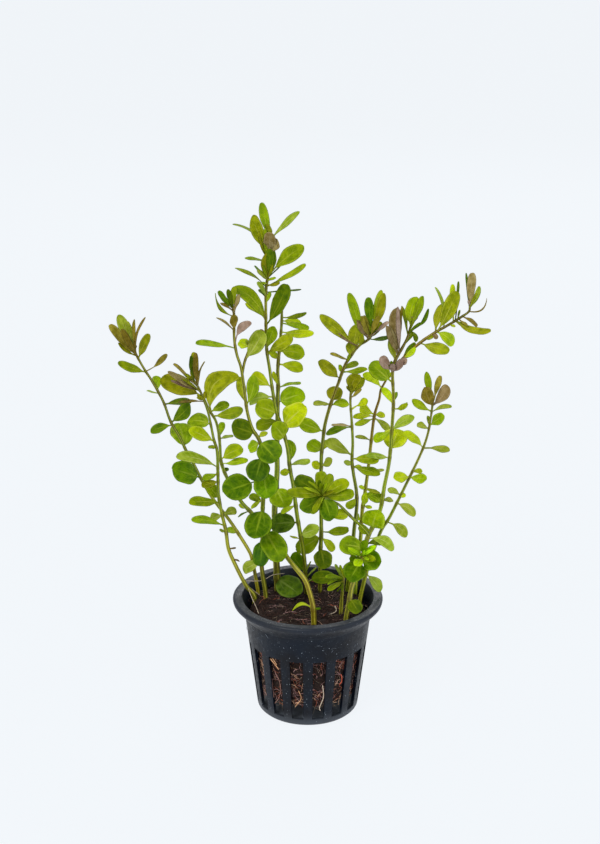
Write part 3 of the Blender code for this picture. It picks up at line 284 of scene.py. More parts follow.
# Pale roots that hang from the left stems, as (x, z, depth) points and a radius, and those that show
# in the slots, as (x, z) points, a radius and the number of a look.
HANGING_ROOTS = (
    (((-22.2, 47.9, 4.6), (-20.1, 45.9, 6.0), (-17.5, 43.7, 7.0)), 0.16),
    (((-22.0, 47.2, 4.4), (-20.5, 42.7, 0.0), (-19.0, 39.0, -4.0), (-18.0, 36.2, -7.6)), 0.12),
    (((-22.6, 49.6, 5.0), (-16.7, 49.8, 5.0), (-12.7, 52.0, 6.0), (-8.6, 52.6, 7.0)), 0.1),
    (((7.8, 35.8, -9.0), (10.4, 37.4, -8.0), (10.0, 39.4, -6.0)), 0.16),
)
SLOT_ROOTS = (
    (((5.6, 6.4), (5.9, 4.0), (6.0, 1.6), (5.5, -0.2), (4.8, -2.0), (4.4, -3.4), (4.8, -4.2)), 0.15, 0),
    (((-13.9, 17.7), (-12.4, 15.6), (-10.7, 13.1)), 0.17, 1),
    (((-13.1, 17.9), (-11.5, 15.1)), 0.13, 1),
    (((-12.2, 12.2), (-10.5, 8.0), (-10.2, 3.8), (-11.0, 0.8), (-12.3, -1.1)), 0.1, 2),
    (((-13.4, 9.6), (-13.0, 5.2), (-12.6, 1.4)), 0.09, 2),
    (((-3.4, 4.2), (-2.4, 1.0), (-4.0, -1.6), (-4.6, -2.6)), 0.12, 1),
    (((12.4, 11.2), (12.8, 8.4), (11.8, 6.6)), 0.12, 3),
)

# A leaf is given where it is seen from the front, in millimetres on the upright plane through the
# pot's axis: foot (x, z) on its stem and tip (x, z). Then come the width that the viewer sees, how
# much farther away the tip is than the foot before the gain above, the turn of the blade about its
# own length in degrees, how far its middle is pushed to the left of the line from foot to tip, its
# colour, and the share of its length that is stalk.
Leaf = namedtuple("Leaf", "x0 z0 x1 z1 seen away turn bow tint stalk", defaults=(0.12,))
LEAF_NUMBERS = 8

# A stem is a route of (x, z, depth) points from the plug up, on the same plane, where depth is how
# far behind the plane the point really is. Its radius runs from the first value to the second, and
# its colour through the tones. Small crown leaves fill the gaps between the leaves and reach no
# farther than they do. A fork names the stem that it leaves, and where.
Stem = namedtuple("Stem", "name radius tones route leaves crown fork", defaults=((), None))


def leaves(rows):
    """The leaves that are listed in the text, one to a line."""
    listed = []
    for row in rows.split("\n")[1:-1]:
        words = row.split(" ")
        numbers = [float(word) for word in words[:LEAF_NUMBERS]]
        stalk = [float(word) for word in words[LEAF_NUMBERS + 1:]]
        listed.append(Leaf(*numbers, words[LEAF_NUMBERS], *stalk))
    return tuple(listed)


FAR_LEFT = Stem("far_left", (0.75, 0.5), (UMBER, STRAW, GREEN, DARK, OLIVE), (
    (-18.2, 45.5, 8), (-20.2, 57.7, 9), (-21.0, 60.8, 9), (-24.6, 67.5, 10), (-28.3, 73.7, 11),
    (-33.7, 81.5, 12), (-37.3, 88.0, 13), (-40.5, 95.0, 13.5), (-43.0, 100.0, 14),
    (-45.4, 105.6, 14), (-48.4, 111.4, 14), (-50.8, 118.9, 14), (-54.8, 127.0, 14),
    (-56.5, 129.8, 14), (-59.0, 134.6, 14), (-60.3, 137.5, 14),
), leaves("""
-59.3 135.5 -68.5 146.8 3.2 -3 35 0.6 bronze
-59.6 136.5 -65.2 150.4 4.2 3 0 0 pale
-60 137 -64.5 145.2 2.6 -1 30 0.3 bronze
-60.3 137.4 -59.8 148.8 1.3 2 60 -0.4 bronze
-59.3 135.6 -56 149.5 0.9 -2 65 0.8 bronze
-59 134.6 -54.9 143.5 3.2 -3 20 0 olive
-56.5 129.5 -66.2 133 3.2 -3 30 0.6 mid
-56.4 130 -49 136.3 2 3 50 -0.4 bronze 0.3
-52.6 122.6 -53 128.4 3.4 5 20 0 fresh
-52.1 121.8 -56.4 122.9 0.7 2 65 0 pale
-50.6 117.8 -41 119 2.8 3 40 0.3 deep
-48.4 111 -41.3 117.8 5 -2 15 -0.4 deep
-48 110 -55.6 107.8 3.6 2 25 0 deep
-43.6 101.4 -45.4 110.8 8.4 5 10 0 mid
-38.3 90.2 -48.4 93.6 8.2 -6 15 0 grass
-25.3 68.6 -29.6 70.5 2.6 2 40 0 fresh
"""), crown=leaves("""
-59.2 135 -64.5 145.1 2.2 -4 20 0.3 bronze 0.1
-59.7 135.5 -65.8 140.3 1.4 -3 30 0.6 olive 0.1
-59.5 136.3 -62.4 148.1 2.6 2 15 0.3 pale 0.1
-58.8 134.8 -55 142.8 1.8 -2 25 -0.3 olive 0.15
"""))

LEFT = Stem("left", (0.85, 0.45), (MOSS, STRAW, LIME, GREEN, DARK), (
    (-19.6, 43.6, 4.4), (-22.6, 47.8, 4.6), (-26.8, 57.0, 5), (-28.8, 62.5, 5), (-29.6, 69.2, 5),
    (-31.0, 76.5, 5), (-32.0, 83.3, 5), (-32.1, 92.0, 5), (-32.3, 100.7, 5.5), (-33.3, 104.5, 6),
    (-34.2, 109.7, 6.5), (-35.2, 115.0, 7), (-37.9, 123.1, 7.5), (-40.1, 127.0, 8),
), leaves("""
-39.9 126.6 -39.7 137 2.8 2 30 -0.3 olive
-39.7 126.2 -40.9 135.6 2.2 -2 35 0.3 deep
-38.4 124 -36 133.6 0.9 3 65 0.5 bronze
-38.2 123.6 -46.8 132.8 1.4 3 55 0.2 bronze
-37.8 122.6 -49 129.8 2.4 -8 30 0.3 pink
-37.2 120.8 -51.6 127 7.2 -2 10 -0.5 olive
-36.4 118.9 -45.6 118.6 1.2 1 60 0 bronze
-34.3 110.3 -42.4 111.6 5.6 2 20 -0.8 mid
-33.1 103.8 -42 108.4 4.8 -3 15 -0.3 yellow
-32.5 102 -35.4 101.6 1.5 -1 40 0 mid
-32.2 94 -46.8 98.4 4.2 -2 25 -1 pale
-32.1 91.6 -37.6 89.6 2.6 -2 30 0 mid
-32.1 88.6 -38 86.8 3.2 -3 25 0 olive
-31.9 82 -36 88 4.2 1 20 0 mid
-31.7 80.4 -42.7 80.8 3.8 -2 30 0 mid
-31 75.6 -35.4 74.2 3.6 3 15 0 pale
-31 75.8 -25.8 77.8 3.4 3 15 0 pale
-30.2 71.4 -42 73.8 3 -3 40 -0.6 mid
-29.6 69 -32 69.9 1.2 -1 30 0 pale
-28.8 62.4 -26 62.8 0.7 -1 0 0 bark
-27.2 58 -24.8 57.4 0.7 -1 0 0.3 bark
"""), crown=leaves("""
-38.2 122.7 -47.9 126.6 1.3 -7 30 0.4 rose 0.05
-38.2 123.1 -48.5 129.6 1.2 -7 40 0.3 bronze 0.05
-38.8 124.6 -39.1 136.8 2.2 -3 25 0.3 bronze 0.05
-37.8 122 -44 127.2 1.1 -8 35 0 olive 0.05
"""))

LEFT_FRONT = Stem("left_front", (1.05, 0.5), (UMBER, UMBER, GOLD, LIME, GREEN, GREEN, DARK), (
    (2.3, 33.4, -15.8), (1.8, 40.2, -15.2), (-0.2, 48.0, -13.8), (-1.3, 50.5, -12.8),
    (-6.8, 58.0, -7), (-12.0, 66.0, -1), (-17.0, 72.5, 3), (-20.5, 76.8, 3.5), (-24.0, 81.0, 2.5),
    (-28.6, 89.5, 0.8), (-30.9, 96.2, 0), (-31.2, 102.2, 0), (-31.5, 106.4, 0), (-32.5, 111.6, 0),
    (-34.5, 115.3, 0), (-36.2, 119.4, 0),
), leaves("""
-33.9 113.8 -24.6 129 7.6 -3 10 5.2 olive
-34.3 115 -27.8 118.2 3.4 2 20 0 mid
-33.4 113.6 -22.8 115.8 4.2 -2 15 -0.7 mid
-31.4 105.4 -30.2 111.2 2.6 3 20 0 fresh
-31.3 105 -26.4 106.2 1.3 2 45 0 pale
-30.9 97 -23.2 101.4 5.2 -2 10 0.6 fresh
-30.7 95.4 -21.4 96.7 2.6 -3 35 0 fresh
-29.8 92.2 -28.8 94 2 1 20 0 deep
-21.2 77.8 -24.6 80 1.7 3 30 0 fresh
-20.9 77.4 -25.2 75 0.8 2 55 0 deep
1.9 38.2 -5.7 37.6 1.5 2 30 -1.9 yellow
2 38.4 4.7 38.4 0.9 -1 20 0 deep
"""))

MID_LEFT = Stem("mid_left", (0.9, 0.5), (MOSS, MOSS, LIME, GREEN, OLIVE, OLIVE, BROWN), (
    (-15.4, 44.4, 5.6), (-16.8, 55.0, 4.5), (-16.6, 62.0, 2), (-16.2, 70.0, -1), (-16.3, 77.0, -3),
    (-16.0, 84.0, -5), (-16.0, 92.0, -6), (-16.3, 98.0, -7), (-17.2, 104.2, -8), (-19.7, 108.8, -9),
    (-21.4, 115.1, -9.5), (-22.2, 122.0, -10), (-23.4, 131.4, -11), (-24.8, 136.2, -11.5),
    (-25.6, 142.0, -12), (-25.5, 150.0, -12.5), (-26.0, 153.5, -13),
), leaves("""
-25.9 152.8 -25.2 160.4 2.4 2 25 0 mid
-25.9 152.8 -27.7 159.3 1.9 -2 35 0.2 deep
-25.9 152.4 -30.8 158.8 2 1 40 0.5 deep
-25.6 149.8 -31.9 158 1.3 -3 55 1.8 mid
-25.7 151.5 -30.2 154.4 1 -1 60 0 bronze
-25.6 150.5 -23.4 157.6 1.5 -2 50 0 pink
-25.6 144.8 -25.6 150.4 2.8 -3 10 0 bronze
-25.6 144.6 -31.6 149.4 0.9 2 65 0 bronze
-25.4 139.4 -19.7 147.8 2.8 -2 20 1.8 rose 0.3
-25.3 138.2 -39 140.2 2.3 -4 40 -0.8 mid 0.2
-21.7 117.6 -24 128 3.2 3 25 0.5 olive
-21.6 117.4 -18.6 128.3 4.5 -3 20 -0.5 mid
-18.8 106.6 -27 110 7.2 -7.5 8 0 deep
-17.4 104.2 -11 96.8 9 -4 8 0 deep
-17.2 103.4 -21 101 4.2 3 20 0 fresh
-17.8 105.2 -14.6 107.6 2 2 35 0 yellow
-16.3 98.2 -18.9 88.8 8.4 -4 10 0 forest
-16 93.6 -14.6 82.2 8.8 -4 8 0 grass
-16 89.8 -30.4 84.6 9.4 -4 8 0 deep 0.3
-16.1 82 -20.4 78.4 1.6 2 45 0 yellow
-16.1 80.5 -20.8 83.6 3 3 20 0 mid
-16.3 78.6 -19.4 66.4 9.8 -7 8 0 deep
-16.2 70.8 -9.3 57.4 9 -7 8 0 grass 0.2
-16.4 66.5 -17.4 55.4 6.6 -3 15 0 forest
-17 57.5 -23.6 53.8 4.4 3 20 0 pale
"""))

MID_LEFT_FORK = Stem("mid_left_fork", (0.5, 0.42), (OLIVE, BROWN), (
    (-22.3, 132.6, -9.5), (-21.6, 135.0, -9), (-21.0, 136.8, -8.6), (-20.3, 138.8, -8.2),
), leaves("""
-21.8 134.4 -15.6 144.6 6 -1 10 -0.4 pale
-20.5 138.6 -23.8 141 3.8 3 10 0 yellow
"""), fork=(MID_LEFT, -22.9, 128.6))

TALL = Stem("tall", (0.9, 0.5), (MOSS, LIME, LIME, GREEN, OLIVE, OLIVE), (
    (-0.5, 45.8, 9), (-1.0, 54.0, 8), (-1.5, 60.0, 7), (-2.4, 66.0, 5), (-3.9, 75.5, 3),
    (-5.3, 87.2, 0.5), (-6.4, 93.4, 0), (-7.4, 101.9, -1.5), (-9.2, 109.1, -2.5),
    (-11.0, 114.5, -3.5), (-12.4, 122.5, -4), (-13.4, 130.5, -5), (-14.4, 138.0, -5),
    (-14.6, 150.0, -6), (-14.4, 160.0, -6.5), (-13.5, 166.0, -7), (-13.3, 172.5, -7),
    (-12.8, 177.0, -7),
), leaves("""
-13 176 -15.8 189.4 3.2 2 15 0 mid
-13.4 172.2 -18.7 185.2 4.4 -2 10 0.8 olive
-13.3 172 -10.5 176.8 3.8 -3 10 0 pink
-12.9 176.4 -2.9 186.2 2.2 -2 40 0.7 pale
-13.2 174.5 -25.6 182 1 2 60 -0.8 mid
-13.4 169 -21.6 170.3 1.1 -2 55 0 mid
-13.9 163.5 -1.5 174.4 5.2 -3 12 1 mid 0.25
-14 162 -14.5 172 2.8 -2 25 0.3 olive
-13.9 162.5 -12.2 173.6 3.2 3 20 -0.3 deep
-14.4 160.2 -25 166.8 1.1 -3 55 -0.6 mid
-13.9 163.6 -18.4 167.6 0.9 2 60 0 deep
-14.1 162.4 -17.5 166 1.5 -2 45 0 pale
-14.3 160.4 -0.8 168 2.2 -3 45 0 fresh 0.2
-14.5 157 -17.4 162 1.8 -2 30 0 pale
-14.5 156.4 -17.1 159.2 0.8 1 55 0 deep
-14.4 158.4 -2.4 159.3 0.7 2 60 0 deep
-14.6 147 -25.6 160.2 4.8 -2 20 -2.4 mid
-14.6 149.5 -21.5 154.6 1.6 2 45 0 yellow
-14.5 146.6 -7.3 161.2 5.4 -2 12 -0.6 deep
-14.4 138 -11.6 146.2 4 -2 15 0.2 mid
-14.5 144 -16.8 145 1 0 30 0 pink
-14.3 136.6 -5.3 142.4 4.6 -3 15 0 olive
-12.6 124.2 -19.3 129.2 4.4 2 20 0.4 yellow
-12.2 120.4 -20.6 118.6 4 5 25 -0.6 pale
-11 114.4 -18.4 117.4 7.6 -2 10 0 fresh
-10.2 111.8 -18.2 109.8 4.6 3 15 0 mid
-9.3 109.4 -1.2 117.2 8 -3 10 0 yellow
-8.4 105 -12.4 110.8 6.6 -4 10 0 fresh
-8.5 105.8 -7.4 109.8 1.6 2 30 0 deep
-6.7 95.8 -7.2 104.6 3.6 3 25 -1 mid
-6.6 95 0.8 96.2 2.2 -3 45 0.3 pale
-6.3 93.2 -9.8 91.5 2.6 -1 20 0 yellow
-4.4 79.5 -9.6 76.4 2 -2 35 0 yellow
-3.5 72.8 -13.6 72.2 7.4 3 15 0 blue
-2.7 67.8 4 70.6 4.8 -2 15 0 pale
-2.4 66.3 -6.6 67.5 0.8 1 50 0 yellow
-0.9 53 -5.8 60.4 5 -3 15 0 deep
"""), crown=leaves("""
-13.7 171.8 -13 179.2 4.4 -4 10 0 pink 0.02
-13.3 166.9 -14.6 180.7 1.6 -2 30 0.4 fresh 0.1
-13.6 168.9 -17 180 1.3 -3 35 0.3 olive 0.1
-13 176.6 -14.1 182 1.8 1 20 -0.3 olive 0.1
-13.2 164.6 -12.9 173.5 3.2 -2 12 0 deep 0.05
-13.5 163.4 -12.1 168 1.1 -3 30 -0.2 olive 0.05
-13.8 163.2 -15.4 167.8 1.2 -2 30 0.2 mid 0.05
-14 160.9 -9.7 161.6 1.3 -2 35 -0.3 olive 0.1
-13.8 162.3 -11 163.4 1 -3 35 0 fresh 0.05
-13.8 161.6 -16.2 161.6 0.9 -3 35 0.2 fresh 0.05
-13.8 163.4 -8.8 168.4 0.5 2 50 -0.3 deep 0.1
-14.1 158.8 -17 159.3 0.7 -1 45 0.2 deep 0.1
-14.1 154.6 -12.9 158.4 1.5 -3 20 0 fresh 0.1
-0.4 50.5 3.2 55 0.7 -2 45 0.3 pale 0.1
-0.6 51.5 1.2 57.5 0.6 -2 50 0.2 pale 0.1
0 49 4.2 51 0.6 -2 50 0.2 pale 0.1
"""))

TALL_BACK = Stem("tall_back", (1.4, 0.5), (MOSS, MOSS, LIME, GREEN, OLIVE, GREEN), (
    (-11.0, 47.2, 12), (-11.5, 58.0, 12), (-11.8, 70.0, 12), (-12.0, 77.0, 11), (-11.6, 84.0, 10),
    (-11.0, 93.0, 9), (-11.0, 100.0, 8.5), (-10.8, 110.0, 8), (-10.7, 119.2, 7), (-10.5, 125.0, 7),
    (-10.6, 130.6, 7), (-10.0, 138.0, 7), (-9.2, 147.3, 7), (-9.1, 155.0, 7),
), leaves("""
-9.1 151.5 -8.3 155.4 1.4 -1 30 0 yellow
-9.1 149.4 -0.6 150.9 1.8 -3 40 -0.4 mid
-9.2 148.2 -2.4 147.4 3 2 20 0 yellow
-9.2 147.4 0.3 145.4 2.4 -2 35 0.3 fresh
-9.5 144.2 1.9 143.6 3.2 -4 20 -0.5 yellow
-10.3 134.2 -13.6 137.4 2.4 1 25 0 fresh
-10.1 137.2 -1.2 136 5.6 -3 12 0.4 fresh
-10.5 132.6 -1.8 131 4 2 15 0 yellow
-10.5 124.8 -12.4 129.8 1.8 -2 30 0 yellow
-10.5 124 -2.5 125.7 1.3 1 55 0 fresh
-10.7 118.4 -1.2 121.8 7.4 2 15 0.3 fresh
-11.4 86.4 -8 78.6 8.4 -4 10 0 fresh
-11.2 50.6 -2.8 44.2 9 -13 10 0 blue 0.1
"""))

MID_RIGHT = Stem("mid_right", (0.85, 0.5), (MOSS, GREEN, GREEN, BROWN, OLIVE), (
    (4.5, 46.8, 11), (4.5, 60.0, 10), (4.8, 68.0, 9), (4.7, 80.0, 8.5), (4.7, 98.0, 8),
    (5.2, 104.0, 7.5), (6.0, 110.6, 7), (8.1, 118.6, 7), (10.5, 125.6, 6.5), (12.7, 132.0, 6),
    (14.7, 135.4, 5.5), (17.5, 139.2, 5), (21.0, 141.7, 4.5), (22.0, 143.5, 4.5),
), leaves("""
19.4 140.6 13.9 158.2 3.5 3 20 0.4 mid
21.8 143.2 20.5 156.6 3.3 2 20 0 deep 0.2
22 143.3 24.9 159.2 3 4 20 0 fresh 0.2
22 143.3 26.1 158 3.2 -2 25 -0.4 olive 0.15
21.8 143 24.6 149.8 2.2 -3 30 0 bronze
20.6 141.5 16.6 148.4 2 -2 40 0 pink
21.4 142.3 19 150.2 1.4 -1 50 0 bronze
21.5 142.4 27.7 147.8 1.6 -3 40 0 rose 0.35
21 141.7 28.3 142.8 1.6 2 45 -0.8 deep
17 138.8 3.9 150.2 3.9 -3 15 0 olive
15 136.2 17 147 5 3 10 0 olive
14.6 135.2 14.9 140.9 3 2 20 0.3 olive
13.8 134 7.6 136.4 1.3 -2 50 0.2 bronze
13.2 133 14.6 136.2 1.3 -1 30 0 mid
11 127.2 3.4 133.6 4.4 -3 20 0 olive
11.7 129.2 10.8 132.4 1.6 1 30 0 fresh
11.9 129.6 20.6 130.6 2.2 -3 40 -0.3 mid
12.2 130.6 17.3 133.2 2.4 3 25 0 mid
8.2 118.8 10.2 124.4 5.8 3 8 0 olive
7.8 117.6 1.8 118 2 -2 40 -0.4 pale
7.8 117.4 14.2 118.2 3.2 2 25 0.2 fresh
5.6 107.6 -3.5 111.4 5.2 -3 15 0 fresh
4.9 100.4 0 103.8 5.2 2 15 0.3 fresh
4.9 100.2 6.6 104.6 2.2 2 30 -0.3 yellow
4.7 94.6 8.6 96.9 3.2 -3 20 0 pale
4.7 94.4 1.3 95.4 3.2 -2 15 0 yellow
4.8 69.2 14.7 69.9 3.4 -5 25 -0.2 mid 0.2
4.7 67.6 -4.3 62.2 6.4 1 15 0.4 mid
4.7 67.2 9.6 61.8 3.4 2 20 0 yellow
4.5 63 6.2 54.4 6.8 -5 10 0 deep
"""), crown=leaves("""
21.3 141.9 16.8 147.7 1.9 -4 25 0.3 pink 0.05
21.5 142.1 18.2 150 2 -3 25 0.3 bronze 0.05
21.5 141.9 19.5 148.1 2.2 -1 20 0 olive 0.05
21.7 141.9 22.6 148.3 3.2 1 12 0 deep 0.05
21.7 141.9 25.2 147.8 2.4 1 20 -0.3 olive 0.05
16.9 139.5 18.7 143.5 2.2 -2 20 -0.3 olive 0.05
16.9 139.5 10.4 143.8 0.9 -3 40 0.4 pink 0.1
"""))

RIGHT_SLIM = Stem("right_slim", (0.85, 0.5), (GREEN, GREEN, DARK, GREEN, OLIVE), (
    (14.5, 46.8, 11), (16.0, 58.0, 10), (16.6, 69.1, 8), (17.5, 79.0, 5), (17.3, 85.0, 4.5),
    (16.2, 91.5, 4), (15.6, 97.0, 3), (15.8, 103.0, 3), (15.4, 110.6, 2), (14.8, 118.6, 1.5),
    (14.9, 122.3, 1),
), leaves("""
14.9 121.4 17.6 128.8 4.8 -2 10 1 olive
14.9 121.2 19.3 127.6 3.2 2 25 0 olive
14.9 120.2 18.6 123.6 1.4 -2 40 0 bronze
15 115.8 21 119.2 2.8 -2 25 0.3 yellow 0.35
15.4 109.4 6.4 106.4 2.4 -3 35 -0.8 deep
15.4 109.8 8.2 110.2 1.3 2 55 0 pink
15.7 98.4 6.3 104 4.4 -3 20 -0.5 pale
15.7 97.4 25.2 96.8 3.8 -4 25 0 fresh
15.8 95 12.8 96.5 2 1 30 0 pale
15.9 94.6 19.6 93.8 1.8 2 35 0 yellow
15.9 94.2 25.6 91.2 3.4 -3 30 0 mid
17.4 82.4 14.2 78.2 3.2 -3 20 0 fresh
"""))

RIGHT_BACK = Stem("right_back", (0.85, 0.5), (LIME, LIME, GOLD, GOLD, RUST, RUST), (
    (17.4, 46.2, 9.6), (18.1, 56.0, 12), (19.0, 66.0, 14), (19.5, 77.3, 14), (20.4, 84.7, 14),
    (21.5, 94.6, 14), (22.3, 104.0, 14), (23.0, 111.5, 14), (23.6, 115.1, 14), (24.9, 119.7, 14),
    (25.4, 123.1, 14.5), (27.3, 127.0, 15),
), leaves("""
25.6 123.6 19 128.8 3.4 -3 20 -1 yellow
23.4 114 18.2 116.6 3.8 -3 10 0 yellow
23.4 113.8 27 114 2.4 2 20 0 yellow
23.3 113.4 15.8 113.2 2.4 2 30 0 yellow
23.1 112.6 16.5 110 2.2 -2 35 0 fresh
23.1 112.8 28.8 107.8 2.6 -2 30 0.4 pale
22.3 104 16.6 105.6 1.4 -2 45 -0.3 pale
21.3 92.6 27.1 93.2 1.2 2 50 0 pale
20.6 86.4 18.2 86.5 1.6 -1 30 0 yellow
19.8 79 21.2 84.4 2.8 -3 15 0 yellow
19.6 79.4 23 78.4 1.4 -1 30 0 yellow
19.3 73.4 16.8 75.8 2.4 -2 20 0 fresh
"""))

RIGHT_MAIN = Stem("right_main", (1.0, 0.65), (MOSS, MOSS, STRAW, LIME, LIME, GREEN, OLIVE, OLIVE), (
    (14.2, 34.6, -13.4), (15.2, 41.0, -13), (16.3, 48.0, -12), (18.0, 53.0, -11), (20.6, 62.0, -9),
    (21.6, 67.0, -7.5), (23.8, 72.0, -6), (26.0, 77.8, -4), (27.3, 87.0, -2), (28.8, 96.0, 0),
    (29.5, 108.0, 2), (29.9, 118.9, 3), (29.4, 128.0, 3.5), (29.4, 130.6, 4),
), leaves("""
29.5 125.6 21.6 133 6.4 3 12 0 mid 0.2
29.4 130.2 25 135.2 3.8 -2 15 0.3 rose
29.7 117.6 26 124 2.8 2 25 0 yellow
29.8 118 30.9 122.4 1.5 3 20 0 mid
29.8 116.2 34.9 118 2.3 -2 35 -0.5 fresh 0.25
29.5 108 37.4 113.2 3.6 -2 20 0.5 pale
29.5 107.4 23.3 104 3.4 -2 20 -0.6 fresh
29.1 100.2 32 108.6 8.6 5 8 0 yellow
28.8 97.6 20.6 98.6 2.4 -3 35 0 pale
26.8 83.4 20.8 85.6 1.5 -1 45 -0.3 olive
26.5 81.2 30.4 81.6 2 4 30 0 pale
26.3 80.2 21.5 84.4 4.2 2 15 -0.5 mid
23 70.4 25 77.8 8.4 -4 8 0 fresh
21.9 68 18.6 71.6 3.2 2 20 0 fresh
21.5 66.2 31 61.8 3.8 -4 25 1.6 pale 0.15
21.1 64.4 26.8 65.2 2.8 3 25 0 deep
20.6 62.4 11.4 64 7 -1 12 -0.5 mid
20.2 60 21 66 2.8 -4 20 0 grass
20.1 60.2 24.6 63.4 2 -5 25 0 young
20 59.4 14.6 62.4 2.4 -6 20 0 young
20 59.4 24.4 57.9 3 -8 10 0 fresh
19.8 58.8 17.4 55.6 3.4 -9 10 0 young
19.6 58.8 15.2 58 2.6 -3 20 0 deep
19.4 57.6 26.8 57.4 7.4 -3 10 0 grass
19.3 57.2 15 49.6 8.4 -6 8 0 deep
15.5 42.6 18.8 36.6 5.4 -3 10 0 deep 0.15
"""), crown=leaves("""
20.4 59.6 14.5 62.8 1.6 -8 25 0.3 young 0.05
20.6 59.6 24.1 62.7 1.4 -8 25 -0.3 young 0.05
20.4 59.2 20.7 61.9 1.2 -8 20 0 young 0
20.6 59.2 22.2 58 1.2 -9 20 0 young 0
29.4 130 32.8 134.2 2.8 -3 15 -0.3 rose 0
29.4 129.6 29.5 132.8 2.4 -3 15 0 rose 0
"""))

RIGHT_CROWN = Stem("right_crown", (0.6, 0.45), (BROWN, BROWN, OLIVE), (
    (29.6, 132.2, 4.6), (31.0, 135.6, 4.8), (32.5, 138.4, 5), (34.3, 142.3, 5.5), (35.0, 145.0, 6),
    (35.6, 147.5, 6),
), leaves("""
31.2 136 30.1 152.8 4.6 -2 15 0.4 pink
32 137.4 27.2 146 3.2 -3 25 0.2 pink
30.2 133.4 28.4 142 3 2 25 0 pale
34.4 142.8 32.1 153.6 1.5 2 50 0 mid
35.2 146 36.9 156.8 4.4 -1 12 0.8 fresh
35.4 146.6 39.4 157 2.8 -3 30 -0.6 mid
35 144.6 41.4 152.4 1.7 -2 40 -1.4 deep 0.3
34.9 144.2 39.2 147.8 0.8 2 55 0 deep
34.9 144.8 37.3 140.6 1.6 -3 35 0.6 deep
32.6 138.6 36.2 144.2 1.6 2 40 0 fresh
"""), crown=leaves("""
32.1 136.6 32.3 153.4 1.3 -2 25 0.3 bronze 0.1
31.1 135.9 27 146.4 2 -4 20 0.3 pink 0.1
31.8 136.6 30.6 153.3 1.7 -3 20 0.2 rose 0.1
30.5 134.1 28.7 143.8 2.2 1 20 0 olive 0.1
35.4 144.2 39.4 156.7 1.5 -2 25 -0.2 mid 0.1
35.1 143.5 38.6 147.6 0.9 -2 35 0 deep 0.1
34.8 143.1 37.1 146.7 0.9 2 35 0 olive 0.1
"""), fork=(RIGHT_MAIN, 29.4, 130.4))

RIGHT_REACH = Stem("right_reach", (0.6, 0.42), (BROWN, RUST, BROWN, OLIVE), (
    (31.2, 132.6, 2.4), (35.5, 137.4, 1), (40.0, 141.4, 0), (43.7, 144.0, -1), (48.7, 147.0, -2),
    (53.2, 150.0, -2.5), (55.2, 151.6, -2.5), (55.4, 153.4, -2.5),
), leaves("""
31.2 132.4 34.4 134.2 2.6 -2 20 0 rose
32.6 134.2 36.9 140.4 1.5 2 40 0.3 deep
33 134.7 37.3 138.4 2.2 -2 30 -0.4 yellow
38.6 140.2 48.8 137.2 4.2 -3 15 0 olive
40.2 141.5 43.3 142.6 1.6 -1 30 0 olive
44 144.2 50.2 139.4 4 -3 12 0.9 fresh
43.8 144 44.1 141.6 1.8 -2 20 0 pink
43.8 144.2 46.6 154.2 3.6 3 20 0.6 olive
46.6 145.8 43.3 160.2 1.2 3 50 -0.8 pale
44.6 144.6 50.9 158.6 5.2 -3 12 -0.4 olive
50 147.8 49.2 161.2 2.1 2 20 0 yellow 0.3
50.6 148.2 51.2 162.2 1 4 50 0 deep 0.35
55.3 152.8 55.9 165.2 3.2 -1 15 0 pink
55.2 152.6 53.7 165.2 0.9 2 60 0 deep
55.4 152.8 58.6 160.4 2 -2 30 -0.5 pale
50.6 148.2 63 144.6 2.8 -4 30 -1.4 olive
53 149.8 58.3 146.4 1.6 2 35 0 bronze
51.6 148.8 54.8 146.4 1 -2 45 0 bronze
50.8 148.2 54.5 145.6 1.2 2 40 0 mid
48.6 147 50.6 146 1 -1 30 0 yellow
55.2 151.6 61.1 156.4 0.5 -2 0 -2.2 bronze
"""), crown=leaves("""
31.2 134.5 37 140.4 2.2 2 20 -0.2 olive 0.1
31.8 135 36.7 136.6 1 -2 35 0.2 yellow 0.1
54.8 152.8 57.7 158.1 1 -3 30 0 olive 0.1
51.5 148.9 52.1 152.1 0.8 -2 35 0 mid 0.1
"""), fork=(RIGHT_MAIN, 29.4, 130.4))

FAR_RIGHT = Stem("far_right", (0.8, 0.45), (STRAW, LIME, GREEN, OLIVE, DARK), (
    (19.2, 42.0, 1), (20.9, 51.0, 0.5), (22.5, 58.0, 0), (24.5, 64.0, -1), (26.6, 70.0, -2),
    (29.2, 74.5, -3), (31.9, 80.5, -4), (34.8, 87.1, -5), (38.3, 95.2, -6.5), (40.8, 101.6, -7.5),
    (42.3, 107.0, -8.5), (43.1, 112.4, -9), (43.6, 117.6, -10),
), leaves("""
43.5 117.2 40.6 124.2 4.6 -2 10 0.3 bronze
43.6 117.4 48.7 124.8 4.2 2 12 -0.8 pink
43.6 117.4 41 129.8 2.4 -1 20 0 mid 0.3
43.6 117.5 46.1 128.4 2.2 3 25 0 bronze 0.3
43.3 115.2 36.3 119.2 2.8 -2 25 0 fresh
43.3 114.8 50.4 117 1.6 -3 40 0.6 pale
42.8 109.8 47.7 113.8 3.9 -2 15 0 mid
42.8 109.6 42.2 113.6 1.5 2 30 0 mid
42.6 108.8 38.5 110.9 2.3 2 30 0.4 pale
40.8 101.4 50.2 100.8 2.6 2 25 0.3 pale 0.25
40.6 101.2 33.3 107.4 3.1 -3 25 -0.7 yellow
37.2 92.4 40.6 92.8 2 2 20 0 yellow
36.3 90.6 30.4 90.2 4 -3 15 0 yellow
36.2 90.2 42.4 89.6 3.6 -3 15 0 fresh
33.3 83.5 28.7 86.1 2.4 2 25 0 pale
33.2 83.4 35 83 1.8 -1 20 0 yellow
31.9 80.2 38.6 75.4 3.4 -2 20 0.6 pale
28.4 73 35.8 67.3 3.7 -3 15 0.8 pale 0.25
21.2 52.4 26.9 45.6 4 0 20 0.4 pale
"""))

